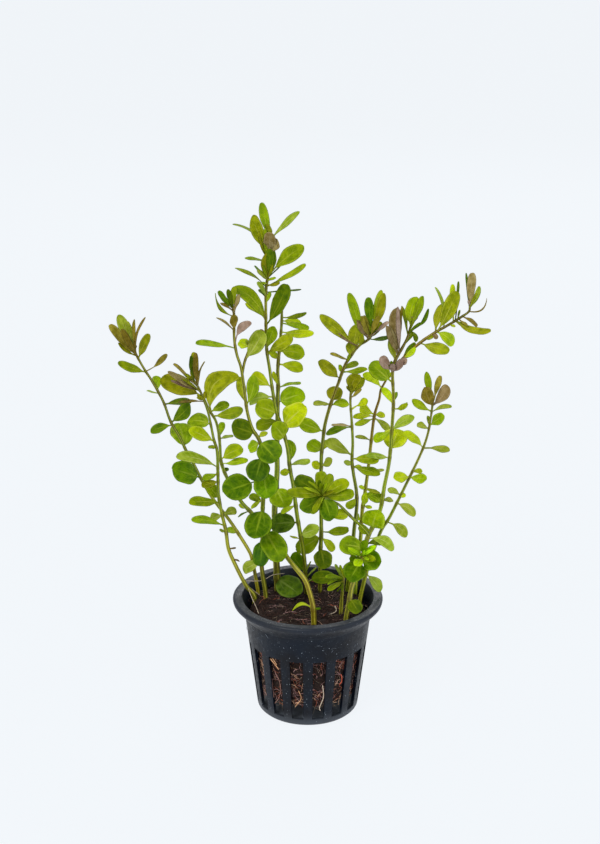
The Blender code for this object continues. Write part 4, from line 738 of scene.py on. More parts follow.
FRONT_BRANCH = Stem("front_branch", (0.6, 0.5), (LIME, GREEN, GREEN), (
    (20.9, 69.4, -8.8), (18.6, 72.0, -9.5), (16.4, 74.1, -10.5), (13.6, 77.2, -11.5),
    (10.9, 79.9, -12.5), (8.4, 81.3, -13), (5.0, 83.2, -14),
), leaves("""
5 83.4 -4.7 89.8 6 -1 12 -0.4 deep
5.1 83.4 4.5 92.6 4.6 4 10 0 mid
5.2 83.3 8.4 91.6 3.4 1 15 0 mid
5.4 83.2 14.6 88.6 4.6 -2 15 0.4 fresh
5.4 83.1 16.6 84 4.4 -3 15 -0.2 mid
5.4 82.8 8.2 73.4 7 -5 10 0.3 deep
5 83 -2.7 78 6.4 -2 10 0.6 deep
5 83 1.8 76.2 2.4 -8 15 0 mid
5 83.2 -7.6 84.4 3.8 -7 20 0 mid
5 83.4 -1.6 86.4 1.2 -6 30 0 yellow
5 83.6 4.6 88 1.8 -6 20 0 mid
5.2 83.6 7 88.2 1 -6 45 0 fresh
15 75.6 9 75.2 4 -1 20 -0.4 yellow
"""), crown=leaves("""
4.2 82.6 3.9 89.3 1.5 -3 20 0 deep 0
3.7 82 0 88.7 1 -4 35 -0.3 fresh 0
4.6 82.6 7.2 88.2 0.7 -4 45 0.2 pale 0
4.5 81.7 1.4 76.1 2.2 -5 25 0.4 fresh 0
5.1 81.7 3.6 78.4 1.4 -6 30 -0.3 yellow 0
4.8 81.7 7.3 88.1 3.4 2 12 0 deep 0
4.5 81.7 3 87.5 3.2 2 12 0 deep 0
4.5 81.8 9.6 83.6 2.6 2 15 0 mid 0
4.3 81.7 2.4 79.1 2.2 2 15 0 deep 0
4.6 81.7 6 77.8 2.4 2 15 0 deep 0
4.2 82.3 1.5 84.3 1.3 -4 25 0 olive 0
4.5 82.3 9.2 84.9 1.4 -3 25 0 olive 0
"""), fork=(RIGHT_MAIN, 22.4, 67.6))

LOW_SHOOT = Stem("low_shoot", (0.8, 0.6), (MOSS, MOSS), (
    (12.3, 38.2, -7), (12.6, 44.0, -7.5), (13.1, 50.8, -8),
), leaves("""
13.1 50.6 6.4 51.2 1.8 -3 30 -0.4 mid
13.1 50.6 9.8 56.2 1.3 -1 45 0 pale
13.1 50.6 15.4 56.4 2.6 2 20 0 pale
13 50.2 9 50.2 1.6 -1 35 0 deep
13 49.8 7.3 45.8 2.4 -3 30 0 mid
13 50.4 1.6 51.4 5 4 25 0 deep
"""), crown=leaves("""
13.6 51 9 51.4 1 -1 30 0.3 fresh 0.1
13.7 51.6 11.7 56 1.2 1 25 0.2 fresh 0.1
13.9 52.3 14.9 56.9 2.2 2 20 0 pale 0.1
13.6 50.3 7.2 48.2 1 -2 35 -0.3 mid 0.1
13.7 49.6 10.7 45.3 0.8 -1 40 0.2 mid 0.1
13.7 49 12.7 45.3 0.8 -2 35 0 deep 0.1
13.7 52 12.3 54.3 0.8 -2 35 0 yellow 0.1
"""))

STEMS = (
    FAR_LEFT, LEFT, LEFT_FRONT, MID_LEFT, MID_LEFT_FORK, TALL, TALL_BACK, MID_RIGHT, RIGHT_SLIM,
    RIGHT_BACK, RIGHT_MAIN, RIGHT_CROWN, RIGHT_REACH, FAR_RIGHT, FRONT_BRANCH, LOW_SHOOT,
)


def place(x, z, depth):
    """The real point that is seen at (x, z) on the upright plane and lies this far behind it."""
    reach = (depth - EYE.y) / -EYE.y
    return EYE + (Vector((x, 0.0, z)) - EYE) * reach


def outward(angle):
    """The level way out from the pot's axis at this angle."""
    return Vector((math.cos(angle), math.sin(angle), 0.0))


def sideways(out):
    """The level way round the pot where this is the way out."""
    return Vector((-out.y, out.x, 0.0))


def stem_point(stem, x, z):
    """The place on the stem's axis that is seen nearest to (x, z)."""
    seen = Vector((x, z))
    best_gap = math.inf
    for (xa, za, depth_a), (xb, zb, depth_b) in zip(stem.route, stem.route[1:]):
        start = Vector((xa, za))
        end = Vector((xb, zb))
        span = end - start
        share = min(max((seen - start).dot(span) / span.length_squared, 0.0), 1.0)
        there = start.lerp(end, share)
        gap = (there - seen).length
        if gap < best_gap:
            best_gap = gap
            best = place(there.x, there.y, depth_a + share * (depth_b - depth_a))
    return best


def lean(leaf):
    """How much farther away the tip is: a flat leaf gains depth, and one that points at the eye keeps it."""
    seen_length = math.hypot(leaf.x1 - leaf.x0, leaf.z1 - leaf.z0)
    gained = min(abs(leaf.away) * DEPTH_GAIN, seen_length * MOST_GAINED)
    return math.copysign(max(abs(leaf.away), gained), leaf.away)


class Blade:
    """A leaf's real foot, tip and facing, and its half width and centre line along its length."""

    def __init__(self, stem, leaf, chance):
        self.foot = stem_point(stem, leaf.x0, leaf.z0)
        self.tip = place(leaf.x1, leaf.z1, self.foot.y + lean(leaf))
        length = (self.tip - self.foot).length
        along = (self.tip - self.foot).normalized()
        look = ((self.foot + self.tip) / 2 - EYE).normalized()
        self.left = along.cross(look).normalized()
        front = along.cross(self.left)
        turn = math.radians(leaf.turn) * (1 if self.left.z > 0 else -1)
        self.across = self.left * math.cos(turn) - front * math.sin(turn)
        self.face = front * math.cos(turn) + self.left * math.sin(turn)
        self.width = leaf.seen / math.cos(math.radians(leaf.turn))
        self.bow = leaf.bow
        self.stalk = leaf.stalk
        is_round = self.width > ROUND_SHARE * length
        self.skew = (ROUND_SKEW if is_round else NARROW_SKEW) * chance.uniform(*SKEW_SPREAD)
        self.foot_fullness = ROUND_FOOT_FULLNESS if is_round else NARROW_FOOT_FULLNESS
        self.tip_fullness = TIP_FULLNESS * chance.uniform(*TIP_SPREAD)
        self.uneven = chance.uniform(*UNEVENNESS)
        self.uneven_turn = chance.uniform(0.0, 2 * math.pi)
        self.arch = chance.uniform(*ARCHING) * length
        self.wave = chance.uniform(*WAVINESS) * self.width
        self.wave_turn = chance.uniform(0.0, 2 * math.pi)
        self.fold = FOLD * chance.uniform(*FOLD_SPREAD)

    def centre(self, share):
        straight = self.foot.lerp(self.tip, share)
        hump = 4 * share * (1 - share)
        return straight + self.left * (self.bow * hump) + self.face * (self.arch * hump)

    def half_width(self, share):
        blade_share = (share - self.stalk) / (1 - self.stalk)
        if blade_share <= 0:
            return STALK_HALF_WIDTH
        passed = min(blade_share, 1.0) ** self.skew
        fullness = self.foot_fullness if passed < 0.5 else self.tip_fullness
        half = self.width / 2 * max(math.sin(math.pi * passed), 0.0) ** fullness
        return max(half, STALK_HALF_WIDTH if blade_share < 0.5 else TIP_HALF_WIDTH)

    def margin(self, share, aside):
        """How far out this place is, with a margin that is a little uneven."""
        swing = self.uneven_turn + (MARGIN_LEAD if aside > 0 else 0.0)
        slow, fast = MARGIN_TURNS
        ripple = math.sin(swing + slow * share) + 0.5 * math.sin(swing * 2 + fast * share)
        unevenness = self.uneven * ripple * abs(aside) * math.sin(math.pi * share)
        return self.half_width(share) * aside * (1 + unevenness)

    def edge_lift(self, share, aside):
        """How far the blade stands off its flat plane at this share of its length and width."""
        crease = math.sqrt(aside * aside + FOLD_ROUNDING) - math.sqrt(FOLD_ROUNDING)
        ripple = math.sin(self.wave_turn + EDGE_TURN * share + (EDGE_LEAD if aside > 0 else 0.0))
        return self.fold * self.half_width(share) * crease + self.wave * ripple * aside * aside

    def rings(self):
        """Rings round the leaf: over its face from one edge to the other and back under it."""
        shares = [self.stalk * row / STALK_ROWS for row in range(STALK_ROWS)]
        for row in range(LEAF_ROWS + 1):
            eased = (1 - math.cos(math.pi * row / LEAF_ROWS)) / 2
            shares.append(self.stalk + (1 - self.stalk) * eased)
        columns = [math.cos(math.pi * column / LEAF_COLUMNS) for column in range(LEAF_COLUMNS + 1)]
        rings = []
        for share in shares:
            thick = EDGE_THICKNESS + (RIB_THICKNESS - EDGE_THICKNESS) * (1 - share)
            thick = min(thick, self.half_width(share) * 2)
            over = []
            under = []
            for aside in columns:
                flesh = thick / 2 * math.sqrt(max(0.0, 1 - aside * aside))
                middle = self.centre(share) + self.across * self.margin(share, aside)
                middle = middle + self.face * self.edge_lift(share, aside)
                spot = (share, 0.5 + aside / 2)
                over.append((middle + self.face * flesh, spot))
                under.append((middle - self.face * flesh, spot))
            rings.append(over + under[-2:0:-1])
        return rings


class Form:
    """The corners and faces of one piece, gathered before its mesh is made."""

    def __init__(self):
        self.corners = []
        self.places = []
        self.shades = []
        self.edges = []
        self.faces = []
        self.looks = []

    def skin(self, rings, shade, look, edge=0.0):
        """A closed skin over rings of (corner, place), each counterclockwise about the way they go."""
        first = len(self.corners)
        sides = len(rings[0])
        for ring in rings:
            for corner, spot in ring:
                self.corners.append(corner * MM)
                self.places.append(spot)
        count = len(rings) * sides
        self.shades += [shade] * count
        self.edges += [edge] * count
        last = first + count - sides
        made = [tuple(reversed(range(first, first + sides)))]
        for base in range(first, last, sides):
            for side in range(sides):
                after = (side + 1) % sides
                made.append((base + side, base + after, base + sides + after, base + sides + side))
        made.append(tuple(range(last, last + sides)))
        self.faces += made
        self.looks += [look] * len(made)

    def piece(self, name, looks, slot, nodes):
        """The finished object, which stands for these nodes of the frame."""
        mesh = bpy.data.meshes.new(name)
        mesh.from_pydata(self.corners, [], self.faces)
        for look in looks:
            mesh.materials.append(look)
        mesh.polygons.foreach_set("material_index", self.looks)
        mesh.polygons.foreach_set("use_smooth", [True] * len(self.faces))
        spots = mesh.uv_layers.new(name="places")
        for loop, spot in zip(mesh.loops, spots.data):
            spot.uv = self.places[loop.vertex_index]
        for kind, values in (("shade", self.shades), ("edge", self.edges)):
            mesh.attributes.new(kind, "FLOAT", "POINT").data.foreach_set("value", values)
        stand_for(name, mesh, nodes)


def shown_object(name, data):
    """A new object of the scene."""
    made = bpy.data.objects.new(name, data)
    bpy.context.scene.collection.objects.link(made)
    return made


def stand_for(name, mesh, nodes):
    """Puts the mesh in the scene in place of these nodes of the frame."""
    piece = shown_object(name, mesh)
    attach(piece, "root")
    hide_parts(*nodes)


def smooth_way(points, step):
    """(point, place in the list) along a smooth curve through the points, at most a step apart."""
    way = []
    for number, (start, end) in enumerate(zip(points, points[1:])):
        span = (end - start).length
        before = points[number - 1] if number else start * 2 - end
        after = points[number + 2] if number + 2 < len(points) else end * 2 - start
        leaving = (end - before).normalized() * span
        arriving = (after - start).normalized() * span
        count = math.ceil(span / step)
        for part in range(count):
            t = part / count
            point = start * (2 * t**3 - 3 * t**2 + 1) + leaving * (t**3 - 2 * t**2 + t)
            point += end * (3 * t**2 - 2 * t**3) + arriving * (t**3 - t**2)
            way.append((point, number + t))
    way.append((points[-1], len(points) - 1))
    return way


def tube_rings(points, radii, sides):
    """Rings round the points, with the share of the way and of the turn as each corner's place."""
    rings = []
    side = Vector((0.83, 0.37, 0.41))
    last = len(points) - 1
    for number, (point, radius) in enumerate(zip(points, radii)):
        way = (points[min(number + 1, last)] - points[max(number - 1, 0)]).normalized()
        side = (side - way * side.dot(way)).normalized()
        other = way.cross(side)
        ring = []
        for corner in range(sides):
            angle = 2 * math.pi * corner / sides
            aside = side * math.cos(angle) + other * math.sin(angle)
            ring.append((point + aside * radius, (number / last, corner / sides)))
        rings.append(ring)
    return rings


def colour(shown):
    """A colour as a screen shows it, from 0 to 255, in the renderer's linear values."""
    return tuple((value / 255) ** 2.2 for value in shown) + (1.0,)


class Wire:
    """What comes out of a node, which sums are written with as with a number."""

    def __init__(self, look, socket):
        self.look = look
        self.socket = socket

    def __add__(self, other):
        return self.look.sum("ADD", self, other)

    def __sub__(self, other):
        return self.look.sum("SUBTRACT", self, other)

    def __rsub__(self, other):
        return self.look.sum("SUBTRACT", other, self)

    def __mul__(self, other):
        return self.look.sum("MULTIPLY", self, other)

    def __abs__(self):
        return self.look.sum("ABSOLUTE", self)


class Look:
    """A material that is being wired up around its shader."""

    def __init__(self, name):
        self.material = bpy.data.materials.new(name)
        self.material.use_nodes = True
        self.tree = self.material.node_tree
        self.shader = self.tree.nodes["Principled BSDF"]
        self.spot = self.node("TexCoord", {}, "Object")

    def join(self, value, socket):
        """Wires an output to a socket, or sets the socket to a colour or a plain value."""
        if isinstance(value, Wire):
            self.tree.links.new(value.socket, socket)
        elif socket.type == "RGBA":
            socket.default_value = colour(value)
        else:
            socket.default_value = value

    def node(self, kind, inputs, output=0, **settings):
        """What comes out of a new node with these inputs, each given by its name or number."""
        node = self.tree.nodes.new("ShaderNode" + kind)
        for key, value in settings.items():
            setattr(node, key, value)
        for key, value in inputs.items():
            self.join(value, node.inputs[key])
        return Wire(self, node.outputs[output])

    def give(self, inputs):
        """Sets or wires the shader's own inputs."""
        for key, value in inputs.items():
            self.join(value, self.shader.inputs[key])

    def sum(self, operation, *values):
        return self.node("Math", dict(enumerate(values)), operation=operation)

    def ranged(self, value, low, high, to_low=0.0, to_high=1.0):
        """The value eased from one span to another, and held at its ends."""
        inputs = dict(enumerate((value, low, high, to_low, to_high)))
        return self.node("MapRange", inputs, interpolation_type="SMOOTHSTEP")

    def fading(self, value, low, high):
        """1 up to the low end, 0 from the high one, and eased between them."""
        return self.ranged(value, low, high, 1.0, 0.0)

    def mixed(self, share, first, second):
        return self.node("Mix", {0: share, 6: first, 7: second}, 2, data_type="RGBA")

    def layered(self, shown, *layers):
        """The colour with others laid over it, each given by its share and itself."""
        for share, tone in layers:
            shown = self.mixed(share, shown, tone)
        return shown

    def noise(self, grain, detail=3.0, rough=0.5):
        """Cloudy noise whose blotches are this many millimetres across."""
        inputs = {"Vector": self.spot, "Scale": 1 / (grain * MM), "Detail": detail, "Roughness": rough}
        return self.node("TexNoise", inputs)

    def scaled(self, scale):
        """The place on the piece, times a scale for each way."""
        return self.node("VectorMath", {0: self.spot, 1: scale}, operation="MULTIPLY")

    def dots(self, grain, squeeze=(1.0, 1.0, 1.0)):
        """How near the closest of many scattered dots is. A squeeze below 1 makes them longer that way."""
        inputs = {"Vector": self.scaled(squeeze), "Scale": 1 / (grain * MM)}
        return self.node("TexVoronoi", inputs, "Distance")

    def attribute(self, name):
        return self.node("Attribute", {}, "Fac", attribute_name=name)

    def map_spot(self):
        """The share along and the share across, from the piece's own map."""
        places = self.node("UVMap", {}, uv_map="places")
        return [self.node("SeparateXYZ", {0: places}, number) for number in (0, 1)]

    def ramp(self, value, tones):
        """The colour that runs evenly through the tones while the value goes from 0 to 1."""
        wire = self.node("ValToRGB", {0: value})
        elements = wire.socket.node.color_ramp.elements
        while len(elements) < len(tones):
            elements.new(0.5)
        for number, (element, tone) in enumerate(zip(elements, tones)):
            element.position = number / (len(tones) - 1)
            element.color = colour(tone)
        return wire

    def bump(self, height, depth):
        """Roughens the surface by the height, this many millimetres deep."""
        normal = self.node("Bump", {"Strength": 1.0, "Distance": depth * MM, "Height": height})
        self.give({"Normal": normal})
        return normal

    def tuned(self, shown, hue, value):
        return self.node("HueSaturation", {"Hue": hue, "Value": value, "Color": shown})


def leaf_look(tint_name):
    """Thin living leaf: pale veins and rim, a dark margin, blotches, and light let through."""
    tint = LEAF_TINTS[tint_name]
    look = Look("leaf_" + tint_name)
    along, over = look.map_spot()
    aside = abs(over - 0.5) * 2.0
    blotch = look.noise(2.6, 3.0, 0.6)
    beat = look.sum("SINE", (along - aside * VEIN_SLANT) * VEIN_BEAT)
    side_vein = look.ranged(beat, 0.72, 1.0) * look.fading(aside, 0.75, 0.98)
    rib_width = look.ranged(along, 0.1, 0.95, 0.2, 0.05)
    rib = (1.0 - look.ranged(aside, 0.01, rib_width)) * look.fading(along, 0.6, 0.95)
    fan_way = look.sum("SINE", along * 3.0) * 0.42
    fan = look.fading(abs(aside - fan_way), 0.01, 0.08) * look.fading(along, 0.3, 0.7)
    near_foot = look.fading(along, 0.12, 0.42) * look.fading(aside, 0.2, 0.8)
    edge_start = 1.0 - look.attribute("edge")
    edge = look.ranged(aside, edge_start, edge_start + 0.05)
    rim = look.ranged(aside, edge_start - 0.22, edge_start - 0.05) * (1.0 - edge)
    flesh = look.layered(
        tint.dark,
        (look.ranged(blotch, 0.34, 0.66), tint.light),
        (look.fading(aside, 0.0, 0.7) * MIDDLE_SHOWS, tint.light),
    )
    shown = look.layered(
        flesh,
        (side_vein * SIDE_VEIN_SHOWS, tint.vein),
        (fan * FAN_SHOWS, tint.vein),
        (near_foot * FOOT_SHOWS, tint.vein),
        (rib * RIB_SHOWS, tint.vein),
        (rim * RIM_SHOWS, tint.vein),
        (edge * EDGE_SHOWS, [EDGE_DARKNESS * value for value in tint.dark]),
    )
    shade = look.attribute("shade")
    hue = look.ranged(shade, 0.0, 1.0, 0.488, 0.512)
    shown = look.tuned(shown, hue, look.ranged(shade, 0.0, 1.0, 0.85, 1.15))
    normal = look.bump(rib * -1.0 + side_vein * -0.35 + look.noise(0.7) * 0.5, 0.09)
    roughness = look.ranged(blotch, 0.3, 0.7, 0.42, 0.56)
    look.give({"Base Color": shown, "Roughness": roughness, "Specular IOR Level": 0.09})
    glow = look.layered(tint.through, (side_vein * 0.25, flesh), (rib * 0.5, tint.dark))
    through = look.node("BsdfTranslucent", {"Color": glow, "Normal": normal})
    skin = Wire(look, look.shader.outputs[0])
    both = look.node("MixShader", {0: LEAF_THROUGH, 1: skin, 2: through})
    look.join(both, look.tree.nodes["Material Output"].inputs["Surface"])
    return look.material


def stem_look(stem):
    """Juicy stem: colour changing upwards, fine lengthwise streaks, darker nodes, ribs with painted
    highlight and shade.
    """
    look = Look("stem_of_" + stem.name)
    along, around = look.map_spot()
    streak = look.noise(0.5, 2.0)
    # Four lengthwise ribs, partly the stem's real ribs, that also carry painted light: a painted highlight
    # on each crest and painted shade in each furrow.
    ridge_and_painted_light = look.sum("SINE", around * (4 * 2 * math.pi) + look.noise(6.0, 1.0) * 3.0)
    shown = look.layered(
        look.ramp(along, stem.tones),
        (look.ranged(streak, 0.45, 0.75, 0.0, 0.3), (176, 184, 60)),
        # Painted highlight on the rib crests, then painted shade in their furrows.
        (look.ranged(ridge_and_painted_light, 0.5, 1.0, 0.0, 0.6), (198, 192, 66)),
        (look.ranged(ridge_and_painted_light, -1.0, -0.2, 0.45, 0.0), (62, 58, 0)),
        (look.ranged(look.noise(3.0, 3.0, 0.6), 0.5, 0.75, 0.0, 0.4), (78, 66, 10)),
        (look.attribute("shade") * 0.55, (84, 70, 10)),
    )
    look.bump(streak + ridge_and_painted_light * 0.6, 0.06)
    look.give({"Base Color": shown, "Roughness": 0.4, "Specular IOR Level": 0.3})
    look.give({"Subsurface Weight": 0.2, "Subsurface Radius": (0.5, 0.6, 0.15), "Subsurface Scale": MM})
    return look.material


def pot_look():
    """Moulded black plastic, blue cast, satin, dusted with pale specks, scuffed low down, painted light at
    base and rim.
    """
    look = Look("net_pot_plastic")
    height = look.node("SeparateXYZ", {0: look.spot}, 2)
    reach = look.node("VectorMath", {0: look.scaled((1.0, 1.0, 0.0))}, "Value", operation="LENGTH")

    def over(value, span, *strengths):
        return look.ranged(value, span[0] * MM, span[1] * MM, *strengths)

    dust = look.fading(look.dots(0.62), 0.1, 0.26) * look.ranged(look.noise(1.3), 0.48, 0.62, 0.0, 0.32)
    speck = look.fading(look.dots(1.15), 0.07, 0.14) * look.ranged(look.noise(2.4), 0.46, 0.56)
    scuff = look.fading(look.dots(1.6, (1.0, 1.0, 0.3)), 0.06, 0.14)
    scuff = scuff * (over(height, (0.0, SCUFF_TOP), 1.0, 0.0) * look.ranged(look.noise(4.0), 0.5, 0.6))
    inside = over(reach, INSIDE_SPAN, 0.7, 0.0) * over(height, INSIDE_TOP_SPAN, 1.0, 0.0)
    shown = look.layered(
        (0, 8, 18),
        (look.ranged(look.noise(9.0), 0.3, 0.7), (4, 20, 33)),
        (dust, (130, 144, 158)),
        (speck * 0.75, (176, 188, 200)),
        (scuff * 0.6, (150, 158, 166)),
        # Painted light: the plastic is paler low down, standing in for light thrown up from the pale floor.
        (over(height, BASE_BOUNCE_LIGHT_SPAN, 0.42, 0.0), (92, 97, 104)),
        # Painted highlight: the plastic is paler over the rim, where light falls on it.
        (over(height, RIM_HIGHLIGHT_SPAN, 0.0, 0.5), (46, 50, 58)),
        (inside, (92, 98, 106)),
        (look.ranged(look.noise(1.6, 5.0, 0.7), 0.5, 0.8, 0.0, 0.12), (74, 82, 92)),
    )
    roughness = look.ranged(look.noise(1.2, 4.0), 0.3, 0.7, 0.36, 0.52)
    look.give({"Base Color": shown, "Roughness": roughness, "Specular IOR Level": 0.2})
    look.bump(look.noise(0.5, 3.0), 0.05)
    return look.material


def coir_look(name, dark, light):
    """Pressed coconut fibre, dull and uneven."""
    look = Look(name)
    grain = look.noise(0.6, 5.0, 0.7)
    shown = look.mixed(look.ranged(grain, 0.36, 0.64), dark, light)
    shown = look.tuned(shown, 0.5, look.ranged(look.attribute("shade"), 0.0, 1.0, 0.6, 1.35))
    look.bump(grain, 0.25)
    look.give({"Base Color": shown, "Roughness": 0.85, "Specular IOR Level": 0.25})
    return look.material


def wall_radius(height):
    """The outer radius of the tapering wall."""
    share = (height - BASE_CORNER) / (WALL_TOP - BASE_CORNER)
    return BASE_RADIUS + share * (WALL_TOP_RADIUS - BASE_RADIUS)


def plug_radius(height):
    """How far out the plug's side is."""
    return wall_radius(height) - WALL - GAP


def slot_cutter():
    """A wedge through the wall for each slot."""
    bm = bmesh.new()
    for number in range(SLOT_COUNT):
        out = outward(math.radians(SLOT_TURN - 90 + number * 360 / SLOT_COUNT))
        for vertex in bmesh.ops.create_cube(bm, size=2.0)["verts"]:
            reach = SLOT_OUTER_REACH if vertex.co.x > 0 else SLOT_INNER_REACH
            is_top = vertex.co.z > 0
            width = SLOT_TOP_WIDTH if is_top else SLOT_BOTTOM_WIDTH
            height = SLOT_TOP if is_top else SLOT_BOTTOM
            vertex.co = (out * reach + sideways(out) * (vertex.co.y * width / 2) + UP * height) * MM
    mesh = bpy.data.meshes.new("slot_cutter")
    bm.to_mesh(mesh)
    bm.free()
    return shown_object("slot_cutter", mesh)


def build_pot():
    """The pot turned from its profile, its corners rounded, and its slots cut."""
    profile = (
        (0.0, FLOOR),
        (wall_radius(FLOOR) - WALL, FLOOR),
        (WALL_TOP_RADIUS - WALL, WALL_TOP),
        (RIM_INNER_RADIUS, POT_HEIGHT),
        (RIM_RADIUS - RIM_EDGE, POT_HEIGHT),
        (RIM_RADIUS, POT_HEIGHT - RIM_EDGE),
        *SKIRT,
        (WALL_TOP_RADIUS, WALL_TOP),
        (BASE_RADIUS, BASE_CORNER),
        (BASE_RADIUS - BASE_CORNER, 0.0),
        (0.0, 0.0),
    )
    rough = bpy.data.meshes.new("pot_profile")
    corners = [(radius * MM, 0.0, height * MM) for radius, height in profile]
    rough.from_pydata(corners, [(i, i + 1) for i in range(len(corners) - 1)], [])
    pot = shown_object("pot_profile", rough)
    screw = pot.modifiers.new("round", "SCREW")
    screw.steps = POT_SIDES
    screw.render_steps = POT_SIDES
    screw.use_merge_vertices = True
    screw.merge_threshold = POT_MERGE * MM
    rounding = pot.modifiers.new("rounding", "BEVEL")
    rounding.width = POT_ROUNDING * MM
    rounding.segments = POT_ROUNDING_STEPS
    rounding.limit_method = "ANGLE"
    rounding.angle_limit = math.radians(ROUNDED_ANGLE)
    cutter = slot_cutter()
    cut = pot.modifiers.new("slots", "BOOLEAN")
    cut.solver = "EXACT"
    cut.object = cutter
    graph = bpy.context.evaluated_depsgraph_get()
    mesh = bpy.data.meshes.new_from_object(pot.evaluated_get(graph))
    bpy.data.objects.remove(pot)
    bpy.data.objects.remove(cutter)
    mesh.shade_smooth()
    mesh.set_sharp_from_angle(angle=math.radians(SHARP_ANGLE))
    mesh.name = "slotted_pot"
    mesh.materials.clear()
    mesh.materials.append(pot_look())
    stand_for("slotted_pot", mesh, ["net_pot"])


def plug_point(share, angle):
    """A point on the plug's lumpy skin, from the middle of its top over the shoulder to its bottom."""
    outline = (
        (0.0, PLUG_TOP), (PLUG_TOP_RADIUS, PLUG_TOP), (plug_radius(PLUG_SHOULDER), PLUG_SHOULDER),
        (plug_radius(PLUG_BOTTOM), PLUG_BOTTOM), (0.0, PLUG_BOTTOM),
    )
    lengths = [math.dist(a, b) for a, b in zip(outline, outline[1:])]
    reach = share * sum(lengths)
    for start, end, length in zip(outline, outline[1:], lengths):
        if reach <= length:
            break
        reach -= length
    part = min(reach / length, 1.0)
    radius = start[0] + (end[0] - start[0]) * part
    height = start[1] + (end[1] - start[1]) * part
    out = outward(angle)
    point = out * radius + UP * height
    lump = noise.fractal(point * PLUG_GRAIN, *PLUG_FRACTAL) - PLUG_SINK
    if height > PLUG_SHOULDER:
        return point + UP * (lump * PLUG_LUMPS)
    return point + out * (min(lump, 0.0) * PLUG_LUMPS)


def build_plug():
    form = Form()
    rings = []
    for row in range(PLUG_ROWS + 1):
        share = PLUG_START + PLUG_SPAN * row / PLUG_ROWS
        turns = [side / PLUG_SIDES for side in range(PLUG_SIDES)]
        rings.append([(plug_point(share, -2 * math.pi * turn), (share, turn)) for turn in turns])
    form.skin(rings, 0.5, 0)
    form.piece("coir_body", [coir_look("coir_matted", (20, 14, 13), (52, 36, 30))], "coir", ["coir_plug"])


def straw(form, chance, start, way, out, look, length, radius):
    """One loose fibre that wanders over the surface, humps up off it and comes down again."""
    turn = chance.uniform(-STRAW_TURN, STRAW_TURN)
    lift = chance.uniform(0.0, STRAW_LIFT)
    points = []
    radii = []
    for number in range(STRAW_STEPS + 1):
        points.append(start + out * (lift * math.sin(math.pi * number / STRAW_STEPS)))
        radii.append(radius * (1 - STRAW_TAPER * number / STRAW_STEPS))
        turn += chance.uniform(-STRAW_WANDER, STRAW_WANDER)
        way = (way + out.cross(way).normalized() * turn * STRAW_BEND).normalized()
        start = start + way * (length / STRAW_STEPS)
    form.skin(tube_rings(points, radii, STRAW_SIDES), chance.random(), look)


def build_straws():
    """Loose fibres over the plug's wall and top."""
    chance = random.Random(17)

    def somewhere():
        return outward(chance.uniform(0.0, 2 * math.pi))

    looks = [
        coir_look("coir_dark", (34, 22, 20), (70, 48, 40)),
        coir_look("coir_red", (116, 60, 46), (186, 108, 84)),
        coir_look("coir_tan", (158, 116, 92), (226, 184, 152)),
        coir_look("coir_grey", (84, 72, 60), (150, 134, 114)),
        coir_look("coir_mauve", (112, 82, 82), (186, 146, 142)),
    ]
    wall = Form()
    for _ in range(WALL_STRAWS):
        height = chance.uniform(*WALL_STRAW_HEIGHTS)
        out = somewhere()
        start = out * (plug_radius(height) - WALL_STRAW_DEPTH) + UP * height
        slope = chance.gauss(math.pi / 2, WALL_STRAW_SPREAD)
        way = sideways(out) * math.cos(slope) + UP * math.sin(slope)
        look = chance.choices(STRAW_KINDS, WALL_STRAW_SHARES)[0]
        length = chance.uniform(*WALL_STRAW_LENGTH)
        straw(wall, chance, start, way, out, look, length, chance.uniform(*STRAW_RADIUS))
    for _ in range(LOW_STRAWS):
        out = somewhere()
        reach = wall_radius(PLUG_BOTTOM) - WALL - LOW_STRAW_DEPTH
        start = out * reach + UP * (PLUG_BOTTOM + LOW_STRAW_RISE)
        way = (sideways(out) * chance.uniform(-LOW_STRAW_SLANT, LOW_STRAW_SLANT) - UP).normalized()
        length = chance.uniform(*LOW_STRAW_LENGTH)
        straw(wall, chance, start, way, out, GREY_STRAW, length, chance.uniform(*STRAW_RADIUS))
    wall.piece("coir_wall_straws", looks, "coir", ["coir_plug"])
    top = Form()
    for _ in range(TOP_STRAWS):
        reach = PLUG_TOP_RADIUS * math.sqrt(chance.random())
        start = somewhere() * reach + UP * (PLUG_TOP + chance.uniform(*TOP_STRAW_RISE))
        way = somewhere() + UP * chance.uniform(*TOP_STRAW_TILT)
        look = chance.choices(STRAW_KINDS, TOP_STRAW_SHARES)[0]
        length = chance.uniform(*TOP_STRAW_LENGTH)
        straw(top, chance, start, way, UP, look, length, chance.uniform(*STRAW_RADIUS))
    top.piece("coir_top_straws", looks, "coir", ["coir_plug"])


def on_plug(x, z):
    """The real point that is seen at (x, z) and stands off the plug's side as a root does."""
    point = place(x, z, 0.0)
    for _ in range(ROOT_ROUNDS):
        reach = plug_radius(point.z) + ROOT_LIFT
        point = place(x, z, -math.sqrt(max(reach * reach - point.x * point.x, 0.0)))
    return point


def root(form, stops, radius, shade, look):
    way = smooth_way(stops, ROOT_STEP)
    form.skin(tube_rings([point for point, _ in way], [radius] * len(way), ROOT_SIDES), shade, look)


def build_roots():
    """Roots and long fibres in the slots, and roots that hang from the stems."""
    form = Form()
    for route, radius, look in SLOT_ROOTS:
        root(form, [on_plug(*stop) for stop in route], radius, 0.7, look)
    for route, radius in HANGING_ROOTS:
        root(form, [place(*stop) for stop in route], radius, 0.4, 0)
    looks = [
        coir_look("root_pale", (166, 146, 124), (224, 206, 186)),
        coir_look("root_tan", (170, 122, 88), (226, 176, 132)),
        coir_look("root_mauve", (120, 84, 76), (176, 132, 118)),
        coir_look("root_red", (170, 66, 48), (220, 104, 78)),
    ]
    form.piece("pale_roots", looks, "coir", ["coir_plug"])


